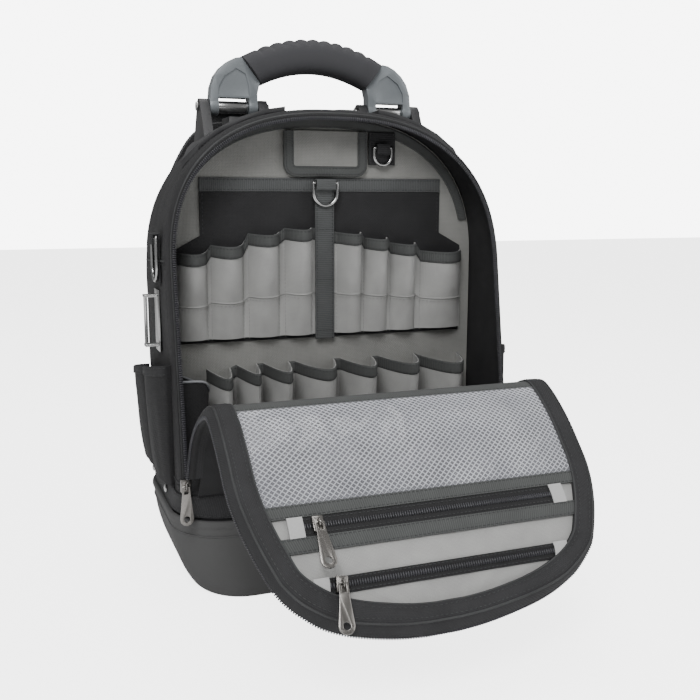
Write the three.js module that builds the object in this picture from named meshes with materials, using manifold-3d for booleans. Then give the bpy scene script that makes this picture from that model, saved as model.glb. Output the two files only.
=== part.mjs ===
// A tool backpack standing on its rubber tub, with the zipped front panel folded open.
// Millimetres, +Z up, +X to the viewer's right, +Y towards the wearer's back.
// Origin: the middle of the tub's flat underside.
import * as THREE from "three";
import { mergeVertices } from "three/addons/utils/BufferGeometryUtils.js";
import Module from "manifold-3d";

const wasm = await Module();
wasm.setup();

// Fits
const fitGap = 0.35; // between pieces that are sewn or pressed together
const pinPlay = 0.35; // round a handle pin

// Rubber tub
const tubHeight = 82;
const tubWall = 3.2;
const tubFloor = 4;
const footHalfWidth = 154;
const footFrontY = -104;
const footBackY = 80;
const footCorner = 48;
const rimTuck = 8; // how deep the shell sits in the rim

// Fabric shell
const shellHalfWidth = 176;
const shellTop = 473;
const shoulderHeight = 316;
const archPower = 2.45;
const topFall = 0.05; // how much the top drops per millimetre towards the back
const shellBackY = 95;
const shellWall = 3;
const openingFootY = -95;
const frontLean = 0.156;
const lowerCorner = 50;
const upperCorner = 12;
const backCorner = 30;

// Front opening and its zip
const hingeHeight = 120;
const lipWidth = 6;
const lipTopWidth = 10;
const zipTapeWidth = 6;
const zipThickness = 2.4;
const bodyZipFoot = 126;
const teethOverhang = 1.5; // how far the teeth stand into the opening

// Band and rivets above the tub
const bandHeight = 24;
const bandLift = 2;
const bandThickness = 1.5;
const rivetRadius = 4.5;
const rivetHeight = 2.5;
const rivetFrontY = -28;
const rivetBackY = 48;

// Tool panel and what is sewn on it
const panelFrontY = -4;
const panelThickness = 4;
const panelPlay = 0.6; // between the tool panel and the shell
const panelFootGap = 1; // between the tool panel and the tub
const clothThickness = 1.6;
const webThickness = 1.8;
const crossWebInset = 43; // from the shell's side to the cross web's end
const crossWebHalfLength = shellHalfWidth - crossWebInset;
const crossWebHeight = 14;
const crossWebDrop = 82; // from the shell's top to the cross web's foot
const crossWebZ = shellTop - crossWebDrop;
const documentHem = 4; // how far the document pocket reaches below the upper row
const documentNeck = 6; // below the upper row's top, where the document pocket narrows
const documentShoulder = 20;
const pocketRowInset = 17; // from the shell's side to the pocket rows' ends
const pocketRowHalfWidth = shellHalfWidth - pocketRowInset;
const upperRowDrop = 120; // from the shell's top to the upper row's
const upperRowTop = shellTop - upperRowDrop;
const upperRowHeight = 111;
const upperRowBottom = upperRowTop - upperRowHeight;
const rowSpace = 30; // between the two rows
const rowFall = 26; // how much lower a row's outermost pocket ends than its highest
const upperPocketDepth = 21;
const lowerRowLift = 2; // from the tub's rim to the lower row's foot
const lowerRowBottom = tubHeight + lowerRowLift;
const lowerRowTop = upperRowBottom - rowSpace;
const lowerPocketDepth = 48;
const bindingHeight = 12;
const bindingThickness = 1.2;
const centreWebWidth = 21;
const centreWebX = -2.5;
const centreWebHem = 5; // how far it reaches below the upper row
const centreRingDrop = 5; // how far its ring's bar lies below the cross web's top
const topFlapHalfWidth = 45;
const topFlapDrop = 66; // from the shell's top to the flap's foot
const topFlapBottom = shellTop - topFlapDrop;
const topFlapHeight = 46;
const topFlapCorner = 12;
const topFlapThickness = 2.4;
const ringTabX = 63;
const ringTabWidth = 30;
const ringTabHeight = 34;
const ringTabDrop = 18; // from its ring's bar to its foot
const upperRingRise = 30; // from the top flap's foot to the ring's bar
const webHem = 7; // how far a web that folds over a ring comes down again

// Band round the top of the tool panel
const archBandInset = 5;
const archBandHalfWidth = shellHalfWidth - archBandInset;
const archBandDrop = 7;
const archBandTop = shellTop - archBandDrop;
const archBandWidth = 10;
const archBandReach = 31; // how far its feet reach below the cross web
const archBandFoot = crossWebZ - archBandReach;

// D-rings
const ringWire = 3.6;
const ringPlay = 0.7; // between a ring and the web through it
const centreRingHeight = 27;
const upperRingWidth = 23.4;
const upperRingHeight = 21.6;
const sideRingWidth = 32;
const sideRingHeight = 46;
const sideRingZ = 347;
const sideRingY = -16;
const sideLoopDrop = 46; // from the side ring's bar to its loop's foot

// Tape clip on the left side
const clipY = -4;
const clipZ = 264;
const clipHeight = 62;
const clipWidth = 26;
const clipReach = 13;
const clipPlate = 1.6;
const clipRod = 4;
const clipEarWidth = 12;
const clipEarInset = 5; // from the plate's ends to the ears
const clipEarThickness = 2.4;

// Side pockets
const sidePocketBottom = 110;
const sidePocketFrontZ = 228;
const sidePocketBackZ = 206;
const sidePocketFrontY = -66;
const sidePocketBackY = 72;
const sidePocketReach = 20;

// Loose pocket inside the left wall
const innerPocketTop = 211;
const innerPocketDip = 18;
const innerPocketBottom = 114;
const innerPocketFrontY = -66;
const innerPocketBackY = -14;
const innerPocketReach = 36;

// Folded front panel, measured along its own surface where it says along
const panelInset = 3; // from the shell's side to the folded panel's edge
const panelHalfWidth = shellHalfWidth - panelInset;
const foldedThickness = 7;
const rootDrop = 9; // from the opening's sill to the panel's root
const rootShare = 0.42; // share of its thickness that its middle stands off the shell at the root
const foldedReach = 241;
const foldRise = 96;
const tipDrop = 143;
const tipSway = 24;
const borderWidth = 22;
const borderThickness = 3;
const borderStep = 1.2; // how much thinner the border is at its outermost edge
const borderFlat = 12; // it lies flat from its inner edge to this far from its outer one
const coreTuck = 1; // the panel's core ends this far inside the border's flat part
const edgeCurl = 6.5; // how far the outermost edge curls under
const panelZipWidth = 5;
const borderStart = 17; // the border and its zip start above the sliders
const trimThickness = 1.5;
const windowBulge = 7;
const windowThickness = 1.2;

// Where the trims lie, as shares of the panel's length along its surface
const foldRibbonFrom = 0.332;
const foldRibbonTo = 0.37;
const windowTo = 0.682;
const zipAFrom = 0.713;
const zipATo = 0.755;
const zipRibbonTo = 0.79;
const zipBFrom = 0.848;
const zipBTo = 0.884;
const zipInset = 52; // from the panel's edge at its root to the upper pocket zip's end
const zipHalfLength = panelHalfWidth - zipInset;
const zipBInset = 64; // the same for the lower pocket zip
const zipBHalfLength = panelHalfWidth - zipBInset;

// Zip sliders and their pulls
const sliderLength = 12;
const sliderWidth = 9;
const sliderHeight = 4;
const bailWire = 1.7;
const bailInner = 2.1;
const bailSink = 0.2; // how far the bail's round top starts below its own radius above the slider
const sliderShare = 0.82; // how far along the pocket zips their sliders stand
const mainSliderInset = 1.5; // from the panel's edge
const mainSliderGap = 1.35; // from the front plane
const pullLength = 38;
const pullTilt = 0.09; // how far a pull on the folded panel stands off, in radians
const pullTopWidth = 8;
const pullEndWidth = 13;
const pullThickness = 1.8;
const pullEye = 6.8;
const eyeWall = 1.9;
const pullHoleRadius = 3;

// Carry handle
const handleY = 36;
const pinRise = 4; // of the pins over the shell's top
const pinZ = shellTop + pinRise;
const pinRadius = 4;
const pinHeadRadius = 4.6;
const pinHeadHeight = 2.2;
const legInnerX = 62;
const legOuterX = 112;
const legArm = 9;
const legDepth = 15;
const legBarrelRadius = 9.2;
const sleeveRadius = 6.2;
const legRecess = 2;
const legRim = 8.5; // round the recess
const legSeatTop = 1; // the leg's end stays inside the grip's end by these
const legSeatBottom = 2.4;
const legSeatOut = 2;
const gripHalfTop = 78;
const gripHalfBottom = 57;
const gripEndTopRise = 51; // these four are heights over the pins
const gripEndBottomRise = 23;
const gripMidTopRise = 72;
const gripMidBottomRise = 37;
const gripEndTopZ = pinZ + gripEndTopRise;
const gripEndBottomZ = pinZ + gripEndBottomRise;
const gripMidTopZ = pinZ + gripMidTopRise;
const gripMidBottomZ = pinZ + gripMidBottomRise;
const gripDepth = 31;
const gripRib = 2.2;
const gripRibs = 9;
const ribbedShare = 0.78; // how much of the grip's length has ribs
const gripEndSlim = 0.86; // the grip's depth at its ends, as a share of its full depth

// Handle brackets
const earThickness = 10;
const earRadius = 8;
const earSpread = 26;
const earShoulder = 28; // how far below the shell's top the ears start to narrow
const earGap = 0.7; // between an ear and the leg beside it
const barrelPlay = 1.3; // round the leg's barrels as they turn
const saddleThickness = 4.5;
const saddleInnerX = 50;
const saddleInset = 24; // from the shell's side to the saddle's outer tip
const saddleTipX = shellHalfWidth - saddleInset;
const saddleFrontY = -30;
const saddleBackY = 84;
const saddleDepth = 70; // how far down the shell its ears reach
const restWidth = 15;
const restDepth = 32;

// Back pad, shoulder straps, lower webs and buckles
const padThickness = 15;
const padDrop = 7; // from the shell's top to the pad's
const padTop = shellTop - padDrop;
const padTopInset = 62;
const padTopHalfWidth = shellHalfWidth - padTopInset;
const padInset = 6;
const padHalfWidth = shellHalfWidth - padInset;
const padFootZ = 112;
const strapWidth = 60;
const strapThickness = 12;
const strapTopInset = 103; // from the shell's side to the middle of a strap's top
const strapTopX = shellHalfWidth - strapTopInset;
const strapFootInset = 72;
const strapFootX = shellHalfWidth - strapFootInset;
const strapFootZ = 190;
const strapRise = 14; // of the straps' tops over the shell's
const strapTopZ = shellTop + strapRise;
const strapBow = 24;
const strapHook = 14; // how far its top end reaches forwards over the pad
const lowerWebWidth = 25;
const lowerWebInset = 40; // from the pad's side to a lower web's foot
const lowerWebFootX = padHalfWidth - lowerWebInset;
const lowerWebFootZ = 128;
const buckleHeight = 30;
const buckleWidth = 36;
const buckleThickness = 5;
const buckleRail = 4;
const buckleSlot = 3.6;
const buckleGap = 2.8; // below the strap's end, for the turned end of the strap
const lowerWebGap = 9.5; // between the buckle and the lower web's middle line
const lowerWebLift = 5; // of the web's foot off the pad

// Colours
const colour = {
  rubber: [0x4a4a4b, 0.75, 0],
  shell: [0x2b2c2d, 0.9, 0],
  greyCloth: [0x9c9c9a, 0.9, 0],
  greyWeb: [0x5f6264, 0.9, 0],
  blackCloth: [0x262628, 0.9, 0],
  blackWeb: [0x2e3031, 0.85, 0],
  zip: [0x1c1c20, 0.5, 0],
  clearSheet: [0xb9bcc4, 0.25, 0],
  steel: [0xb9b9ba, 0.25, 1],
  handleMetal: [0x8b959c, 0.45, 0.6],
  plastic: [0x4d4b4c, 0.55, 0],
  gripRubber: [0x3b3a3d, 0.7, 0],
  pad: [0x2f3032, 0.9, 0],
};

// Small tools for making closed meshes
const lerp = (a, b, t) => a + (b - a) * t;
const smooth = (t) => {
  const c = Math.min(1, Math.max(0, t));
  return c * c * (3 - 2 * c);
};
const v3 = (x, y, z) => new THREE.Vector3(x, y, z);

/** Reads a table of [x, y] rows as a curve of straight stretches. */
function along(table, x) {
  if (x <= table[0][0]) return table[0][1];
  for (let i = 1; i < table.length; i++) {
    const [x0, y0] = table[i - 1];
    const [x1, y1] = table[i];
    if (x <= x1) return lerp(y0, y1, (x - x0) / (x1 - x0));
  }
  return table[table.length - 1][1];
}

/** A geometry from points and triangles, turned so that its faces point out. */
function closedGeometry(points, triangles) {
  let volume = 0;
  for (let i = 0; i < triangles.length; i += 3) {
    const [a, b, c] = [0, 1, 2].map((k) => points[triangles[i + k]]);
    volume += a.dot(b.clone().cross(c));
  }
  if (volume < 0) {
    for (let i = 0; i < triangles.length; i += 3) {
      [triangles[i + 1], triangles[i + 2]] = [triangles[i + 2], triangles[i + 1]];
    }
  }
  const geometry = new THREE.BufferGeometry().setFromPoints(points);
  geometry.setIndex(triangles);
  return geometry;
}

/** The triangles that close a flat ring of points. */
function capOf(ring) {
  const normal = v3(0, 0, 0);
  ring.forEach((p, i) => {
    const q = ring[(i + 1) % ring.length];
    normal.add(v3((p.y - q.y) * (p.z + q.z), (p.z - q.z) * (p.x + q.x), (p.x - q.x) * (p.y + q.y)));
  });
  normal.normalize();
  const helper = Math.abs(normal.z) < 0.8 ? v3(0, 0, 1) : v3(1, 0, 0);
  const side = helper.clone().cross(normal).normalize();
  const up = normal.clone().cross(side);
  const flat = ring.map((p) => new THREE.Vector2(p.dot(side), p.dot(up)));
  return THREE.ShapeUtils.triangulateShape(flat, []);
}

/** Joins rings of points in order. An open row is capped at both ends; a looped one closes on itself. */
function loft(rings, looped = false) {
  const n = rings[0].length;
  const points = rings.flat();
  const triangles = [];
  const last = looped ? rings.length : rings.length - 1;
  for (let i = 0; i < last; i++) {
    const a = i * n;
    const b = ((i + 1) % rings.length) * n;
    for (let j = 0; j < n; j++) {
      const k = (j + 1) % n;
      triangles.push(a + j, a + k, b + k, a + j, b + k, b + j);
    }
  }
  if (!looped) {
    const end = (rings.length - 1) * n;
    for (const [a, b, c] of capOf(rings[0])) triangles.push(c, b, a);
    for (const [a, b, c] of capOf(rings[rings.length - 1])) triangles.push(end + a, end + b, end + c);
  }
  return closedGeometry(points, triangles);
}

/** A prism between two copies of an outline; place turns an outline point and a depth into a point. */
const prism = (outline, from, to, place) =>
  loft([from, to].map((depth) => outline.map(([a, b]) => place(a, b, depth))));

const facingY = (x, z, y) => v3(x, y, z);
const facingX = (y, z, x) => v3(x, y, z);

function solid(geometry) {
  const bare = new THREE.BufferGeometry();
  bare.setAttribute("position", geometry.getAttribute("position").clone());
  bare.setIndex(geometry.getIndex());
  const merged = mergeVertices(bare, 1e-3);
  return new wasm.Manifold(
    new wasm.Mesh({
      numProp: 3,
      vertProperties: merged.getAttribute("position").array,
      triVerts: new Uint32Array(merged.getIndex().array),
    }),
  );
}

function geometryOf(manifold) {
  const mesh = manifold.getMesh();
  const geometry = new THREE.BufferGeometry();
  geometry.setAttribute("position", new THREE.BufferAttribute(new Float32Array(mesh.vertProperties), 3));
  geometry.setIndex(new THREE.BufferAttribute(new Uint32Array(mesh.triVerts), 1));
  return geometry;
}

const join = (...geometries) => geometryOf(geometries.map(solid).reduce((a, b) => a.add(b)));
const cut = (geometry, ...tools) =>
  geometryOf(tools.map(solid).reduce((a, b) => a.subtract(b), solid(geometry)));
const common = (a, b) => geometryOf(solid(a).intersect(solid(b)));

/** A box from its lowest and highest corners. */
function block(low, high) {
  const size = high.map((h, i) => h - low[i]);
  return new THREE.BoxGeometry(...size).translate(...low.map((l, i) => l + size[i] / 2));
}

/** A cylinder between two points. */
function rod(from, to, radius, sides = 12) {
  const axis = to.clone().sub(from);
  const geometry = new THREE.CylinderGeometry(radius, radius, axis.length(), sides);
  geometry.applyQuaternion(new THREE.Quaternion().setFromUnitVectors(v3(0, 1, 0), axis.clone().normalize()));
  return geometry.translate(...from.clone().add(to).multiplyScalar(0.5).toArray());
}

/** A copy mirrored to the other side of the pack. */
function mirrored(geometry) {
  const source = geometry.index ? geometry.clone() : mergeVertices(new THREE.BufferGeometry()
    .setAttribute("position", geometry.getAttribute("position").clone()), 1e-3);
  const position = source.getAttribute("position");
  const points = [];
  for (let i = 0; i < position.count; i++) {
    points.push(v3(-position.getX(i), position.getY(i), position.getZ(i)));
  }
  const triangles = Array.from(source.getIndex().array);
  for (let i = 0; i < triangles.length; i += 3) {
    [triangles[i + 1], triangles[i + 2]] = [triangles[i + 2], triangles[i + 1]];
  }
  return closedGeometry(points, triangles);
}

const part = new THREE.Group();

function add(name, geometry, [hex, roughness, metalness]) {
  const material = new THREE.MeshStandardMaterial({ color: hex, roughness, metalness });
  const mesh = new THREE.Mesh(geometry, material);
  mesh.name = name;
  part.add(mesh);
  return mesh;
}

// Outlines that the shell, tub, band and brackets share

/** The slanted front plane that holds the opening, at height z. */
const frontY = (z) => openingFootY + frontLean * (z - hingeHeight);

/** A rounded rectangle seen from above, with its own front and back corner radii. */
function planRing(z, halfWidth, front, back, frontRadius, backRadius, steps = 5) {
  const corners = [
    [halfWidth - frontRadius, front + frontRadius, frontRadius, -90],
    [halfWidth - backRadius, back - backRadius, backRadius, 0],
    [-halfWidth + backRadius, back - backRadius, backRadius, 90],
    [-halfWidth + frontRadius, front + frontRadius, frontRadius, 180],
  ];
  return corners.flatMap(([x, y, radius, start]) =>
    Array.from({ length: steps + 1 }, (_, i) => {
      const a = THREE.MathUtils.degToRad(start + (90 * i) / steps);
      return v3(x + radius * Math.cos(a), y + radius * Math.sin(a), z);
    }),
  );
}

const cornerEnd = hingeHeight - 4; // where the rounded lower front corners have become upright edges
const frontCorner = (z) => lerp(lowerCorner, upperCorner, smooth((z - tubHeight) / (cornerEnd - tubHeight)));
const rearCorner = (z) => lerp(lowerCorner, backCorner, smooth((z - tubHeight) / (hingeHeight - tubHeight)));

/** The shell's outline from above at height z, grown by offset. */
const shellRing = (z, offset) =>
  planRing(
    z,
    shellHalfWidth + offset,
    frontY(z) - offset,
    shellBackY + offset,
    Math.max(1, frontCorner(z) + offset),
    Math.max(1, rearCorner(z) + offset),
  );

/** The rounded arch seen from the front, as [x, z] points from the lower right corner to the lower left. */
function archOutline(halfWidth, bottom, top, steps = 20) {
  const rise = top - shoulderHeight;
  const arch = Array.from({ length: steps + 1 }, (_, i) => {
    const a = (Math.PI * i) / steps;
    const c = Math.cos(a);
    return [
      halfWidth * Math.sign(c) * Math.abs(c) ** (2 / archPower),
      shoulderHeight + rise * Math.sin(a) ** (2 / archPower),
    ];
  });
  arch[0][0] = halfWidth;
  arch[steps][0] = -halfWidth;
  return [[halfWidth, bottom], ...arch, [-halfWidth, bottom]];
}

const farDepth = 300; // well past the pack, for cutting tools
const overcut = 5; // how far a cutting tool reaches past the face that it opens
const shellFoot = tubHeight - rimTuck + fitGap;
const sideOverlap = 0.6; // the arch is a little wider than the walls, so that only the walls set the sides

/** The solid that the shell's outer face bounds, grown by offset and reaching down to bottom. */
function shellBlock(offset, bottom) {
  const heights = [0, 0.3, 0.55, 0.8, 1].map((t) => lerp(tubHeight, cornerEnd, t));
  const rings = [bottom, ...heights, hingeHeight, shellTop + farDepth].map((z) => shellRing(z, offset));
  const arch = prism(
    archOutline(shellHalfWidth + offset + sideOverlap, bottom - farDepth, shellTop + offset),
    -farDepth,
    farDepth,
    (x, z, y) => v3(x, y, z - topFall * (y - frontY(shellTop))),
  );
  return common(loft(rings), arch);
}

const openingHalfWidth = shellHalfWidth - lipWidth;
const openingTop = shellTop - lipTopWidth;

function makeTub() {
  const rim = {
    half: shellHalfWidth + fitGap + tubWall,
    front: frontY(tubHeight - rimTuck) - fitGap - tubWall,
    back: shellBackY + fitGap + tubWall,
    corner: lowerCorner + fitGap + tubWall,
  };
  const ring = (z, flare, inset) =>
    planRing(
      z,
      lerp(footHalfWidth, rim.half, flare) - inset,
      lerp(footFrontY, rim.front, flare) + inset,
      lerp(footBackY, rim.back, flare) - inset,
      lerp(footCorner, rim.corner, flare) - inset,
      lerp(footCorner, rim.corner, flare) - inset,
    );
  // columns: height share, flare share, inset of the rounded lower edge
  const outside = [
    [0, 0, 5],
    [0.03, 0.06, 1],
    [0.1, 0.24, 0],
    [0.22, 0.47, 0],
    [0.38, 0.68, 0],
    [0.58, 0.86, 0],
    [0.78, 0.96, 0],
    [0.9, 1, 0],
    [1, 1, 0],
  ].map(([height, flare, inset]) => ring(height * tubHeight, flare, inset));
  const ledge = tubHeight - rimTuck;
  const inside = [
    ring(tubHeight, 1, tubWall),
    ring(ledge, 1, tubWall),
    ring(ledge, 1, tubWall + shellWall + 1.5),
    ring(0.5 * tubHeight, 0.79, tubWall + 0.5),
    ring(0.22 * tubHeight, 0.47, tubWall + 1),
    ring(tubFloor, 0.05, tubWall + 3),
  ];
  add("tub", loft([...outside, ...inside]), colour.rubber);
}

function makeShell() {
  const outer = shellBlock(0, shellFoot);
  const inner = shellBlock(-shellWall, shellFoot - overcut);
  const opening = prism(
    archOutline(openingHalfWidth, hingeHeight, openingTop),
    -farDepth,
    frontY(shellTop) + shellWall + overcut,
    facingY,
  );
  add("shell", cut(outer, inner, opening), colour.shell);
}

/** A strip that follows the opening's edge on the front plane, from one foot over the top to the other. */
function makeBodyZip() {
  const arc = (grow) => archOutline(openingHalfWidth + grow, bodyZipFoot, openingTop + grow, 32);
  const inner = arc(-teethOverhang);
  const outer = arc(zipTapeWidth - teethOverhang);
  const rings = inner.map(([xi, zi], i) => {
    const [xo, zo] = outer[i];
    const back = (z) => frontY(z) - fitGap;
    return [
      v3(xi, back(zi), zi),
      v3(xo, back(zo), zo),
      v3(xo, back(zo) - zipThickness, zo),
      v3(xi, back(zi) - zipThickness, zi),
    ];
  });
  add("body_zip_half", loft(rings), colour.zip);
}

const bandBottom = tubHeight + bandLift;
const bandTop = bandBottom + bandHeight;

function makeBand() {
  const slab = block([-farDepth, -farDepth, bandBottom], [farDepth, farDepth, bandTop]);
  const outer = common(shellBlock(fitGap + bandThickness, shellFoot), slab);
  add("rim_band", cut(outer, shellBlock(fitGap, shellFoot - overcut)), colour.blackWeb);
}

// Columns: share of the rivet's radius, share of its height
const domeTable = [
  [0, 0],
  [1, 0],
  [1, 0.35],
  [0.7, 0.8],
  [0, 1],
];

/** The domed rivets on the band. */
function makeRivets() {
  const z = bandBottom + bandHeight * 0.5;
  const sideX = shellHalfWidth + fitGap + bandThickness;
  const face = frontY(z) - fitGap - bandThickness;
  // columns: name, where it sits, which way it faces
  const places = [
    ["rivet_left_back", v3(-sideX, rivetBackY, z), v3(-1, 0, 0)],
    ["rivet_left_front", v3(-sideX, rivetFrontY, z), v3(-1, 0, 0)],
    ["rivet_right_back", v3(sideX, rivetBackY, z), v3(1, 0, 0)],
    ["rivet_right_front", v3(sideX, rivetFrontY, z), v3(1, 0, 0)],
    ["rivet_front_left", v3(-(shellHalfWidth - lowerCorner), face, z), v3(0, -1, frontLean)],
    ["rivet_front_right", v3(shellHalfWidth - lowerCorner, face, z), v3(0, -1, frontLean)],
  ];
  for (const [name, at, facing] of places) {
    const dome = new THREE.LatheGeometry(
      domeTable.map(([out, up]) => new THREE.Vector2(out * rivetRadius, up * rivetHeight)),
      10,
    );
    const normal = facing.clone().normalize();
    dome.applyQuaternion(new THREE.Quaternion().setFromUnitVectors(v3(0, 1, 0), normal));
    const seat = at.clone().addScaledVector(normal, fitGap);
    add(name, dome.translate(...seat.toArray()), colour.steel);
  }
}

const panelBottom = tubHeight - rimTuck + panelFootGap;

function makeToolPanel() {
  const play = shellWall + panelPlay;
  const drop = topFall * (panelFrontY + panelThickness - frontY(shellTop));
  const outline = archOutline(shellHalfWidth - play, panelBottom, shellTop - play - drop);
  add("tool_panel", prism(outline, panelFrontY, panelFrontY + panelThickness, facingY), colour.greyCloth);
}

const firstLayerY = panelFrontY - fitGap;
const documentFrontY = firstLayerY - clothThickness;
const secondLayerY = firstLayerY - webThickness - fitGap;

function makeDocumentPocket() {
  const top = crossWebZ - fitGap;
  const outline = [
    [pocketRowHalfWidth, upperRowBottom - documentHem],
    [pocketRowHalfWidth, upperRowTop - documentShoulder],
    [crossWebHalfLength, upperRowTop - documentNeck],
    [crossWebHalfLength, top],
    [-crossWebHalfLength, top],
    [-crossWebHalfLength, upperRowTop - documentNeck],
    [-pocketRowHalfWidth, upperRowTop - documentShoulder],
    [-pocketRowHalfWidth, upperRowBottom - documentHem],
  ];
  add("document_pocket", prism(outline, documentFrontY, firstLayerY, facingY), colour.blackCloth);
  add(
    "cross_web",
    block(
      [-crossWebHalfLength, firstLayerY - webThickness, crossWebZ],
      [crossWebHalfLength, firstLayerY, crossWebZ + crossWebHeight],
    ),
    colour.greyWeb,
  );
}

// Each row is one pocket of a pleated strip.
// Columns: left edge and right edge as shares of the row's half width, and its top's share of the row's fall.
const upperPockets = [
  [-1.0, -0.8, 0.88],
  [-0.775, -0.565, 0.62],
  [-0.53, -0.325, 0.19],
  [-0.285, -0.1, 0],
  [0.075, 0.25, 0.19],
  [0.27, 0.44, 0.42],
  [0.465, 0.65, 0.65],
  [0.69, 1.0, 1],
];
const lowerPockets = [
  [-0.82, -0.66, 0.1],
  [-0.62, -0.48, 0],
  [-0.44, -0.26, 0],
  [-0.22, 0.06, 0],
  [0.1, 0.34, 0],
  [0.38, 0.66, 0],
  [0.7, 1.0, 0.1],
];

/** A pleated strip's plan: columns with x, how far each stands out (0 to 1) and its top's drop. */
function pleats(rows, steps) {
  return rows.flatMap(([left, right, drop]) =>
    Array.from({ length: steps + 1 }, (_, i) => {
      const t = i / steps;
      return {
        x: lerp(left, right, t) * pocketRowHalfWidth,
        out: Math.sin(Math.PI * t) ** 0.75,
        drop: drop * rowFall,
      };
    }),
  );
}

/** A closed wall over a grid: rows of points in front, and the same rows behind. */
function wall(front, back) {
  const rows = front.length;
  const columns = front[0].length;
  const points = [...front.flat(), ...back.flat()];
  const behind = rows * columns;
  const triangles = [];
  const quad = (a, b, c, d) => triangles.push(a, b, c, a, c, d);
  const at = (i, j) => i * columns + j;
  for (let i = 0; i < rows - 1; i++) {
    for (let j = 0; j < columns - 1; j++) {
      quad(at(i, j), at(i, j + 1), at(i + 1, j + 1), at(i + 1, j));
      quad(behind + at(i, j), behind + at(i + 1, j), behind + at(i + 1, j + 1), behind + at(i, j + 1));
    }
    quad(at(i, 0), at(i + 1, 0), behind + at(i + 1, 0), behind + at(i, 0));
    const e = columns - 1;
    quad(at(i, e), behind + at(i, e), behind + at(i + 1, e), at(i + 1, e));
  }
  for (let j = 0; j < columns - 1; j++) {
    const t = rows - 1;
    quad(at(0, j), behind + at(0, j), behind + at(0, j + 1), at(0, j + 1));
    quad(at(t, j), at(t, j + 1), behind + at(t, j + 1), behind + at(t, j));
  }
  return closedGeometry(points, triangles);
}

/** A pleated pocket strip and the binding round its top edge. */
function makePocketStrip(name, rows, baseY, bottom, top, depth, fullness, steps) {
  const columns = pleats(rows, steps);
  const heights = (column) => fullness.map(([share]) => lerp(bottom, top - column.drop, share));
  const surface = (shift) =>
    fullness.map(([, full], i) =>
      columns.map((c) => v3(c.x, baseY - shift - depth * c.out * full, heights(c)[i])),
    );
  add(name, wall(surface(clothThickness), surface(0)), colour.greyCloth);
  const edge = (shift) =>
    [bindingHeight, 0].map((below) =>
      columns.map((c) => v3(c.x, baseY - shift - depth * c.out, top - c.drop - below)),
    );
  const inner = clothThickness + fitGap;
  add(`${name}_binding`, wall(edge(inner + bindingThickness), edge(inner)), colour.greyWeb);
}

// Columns: height share, share of the full depth
const upperFullness = [
  [0, 0.35],
  [0.19, 0.5],
  [0.37, 0.66],
  [0.6, 0.92],
  [0.85, 1],
  [1, 1],
];
const lowerFullness = [
  [0, 0.1],
  [0.3, 0.55],
  [0.6, 0.86],
  [0.88, 1],
  [1, 1],
];

function makePockets() {
  makePocketStrip(
    "upper_pockets",
    upperPockets,
    documentFrontY - fitGap,
    upperRowBottom,
    upperRowTop,
    upperPocketDepth,
    upperFullness,
    4,
  );
  makePocketStrip(
    "lower_pockets",
    lowerPockets,
    panelFrontY - fitGap,
    lowerRowBottom,
    lowerRowTop,
    lowerPocketDepth,
    lowerFullness,
    4,
  );
}

const centreWebBackY = documentFrontY - fitGap - clothThickness - bindingThickness - 2 * fitGap;
const centreRingZ = crossWebZ + crossWebHeight - centreRingDrop;
const upperRingZ = topFlapBottom + upperRingRise;

function makeCentreWeb() {
  const profile = foldedWeb(centreWebBackY, upperRowBottom - centreWebHem, centreRingZ);
  const half = centreWebWidth / 2;
  const web = prism(profile, centreWebX - half, centreWebX + half, (y, z, x) => v3(x, y, z));
  add("centre_web", web, colour.greyWeb);
}

function makeTopFlap() {
  const left = -topFlapHalfWidth;
  const top = topFlapBottom + topFlapHeight;
  const outline = [[topFlapHalfWidth, top], [left, top]];
  for (const [x, turn] of [
    [left + topFlapCorner, 180],
    [topFlapHalfWidth - topFlapCorner, 270],
  ]) {
    for (let i = 0; i <= 4; i++) {
      const a = THREE.MathUtils.degToRad(turn + (90 * i) / 4);
      outline.push([x + topFlapCorner * Math.cos(a), topFlapBottom + topFlapCorner * (1 + Math.sin(a))]);
    }
  }
  add("top_flap", prism(outline, secondLayerY - topFlapThickness, secondLayerY, facingY), colour.greyCloth);
  // The tab is broad where it is sewn down and narrow where it folds over the ring's bar.
  const tabFoot = upperRingZ - ringTabDrop;
  const base = block(
    [ringTabX - ringTabWidth / 2, secondLayerY - webThickness, tabFoot],
    [ringTabX + ringTabWidth / 2, secondLayerY, tabFoot + ringTabHeight],
  );
  const half = upperRingWidth / 2 - ringWire - ringPlay;
  const fold = prism(
    foldedWeb(secondLayerY, upperRingZ - webHem, upperRingZ),
    ringTabX - half,
    ringTabX + half,
    (y, z, x) => v3(x, y, z),
  );
  add("ring_tab", join(base, fold), colour.blackWeb);
}

/** A D-ring as a closed wire, in the plane of across and down: a straight bar above a round bow. */
function dRing(barCentre, across, down, width, height) {
  const normal = across.clone().cross(down).normalize();
  const radius = (width - ringWire) / 2;
  const drop = height - ringWire - radius;
  const path = [];
  for (const share of [-1, -0.33, 0.33]) path.push([share * radius, 0]);
  path.push([radius, 0]);
  const arcSteps = 10;
  for (let i = 0; i <= arcSteps; i++) {
    const a = (Math.PI * i) / arcSteps;
    path.push([radius * Math.cos(a), drop + radius * Math.sin(a)]);
  }
  const centres = path.map(([a, d]) => barCentre.clone().addScaledVector(across, a).addScaledVector(down, d));
  const sides = 6;
  const rings = centres.map((p, i) => {
    const before = centres[(i + centres.length - 1) % centres.length];
    const after = centres[(i + 1) % centres.length];
    const tangent = p.clone().sub(before).normalize().add(after.clone().sub(p).normalize()).normalize();
    const outward = tangent.clone().cross(normal).normalize();
    const mitre = 1 / Math.max(0.6, tangent.dot(after.clone().sub(p).normalize()));
    return Array.from({ length: sides }, (_, k) => {
      const a = (2 * Math.PI * k) / sides;
      return p
        .clone()
        .addScaledVector(outward, (ringWire / 2) * mitre * Math.cos(a))
        .addScaledVector(normal, (ringWire / 2) * Math.sin(a));
    });
  });
  return loft(rings, true);
}

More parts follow.
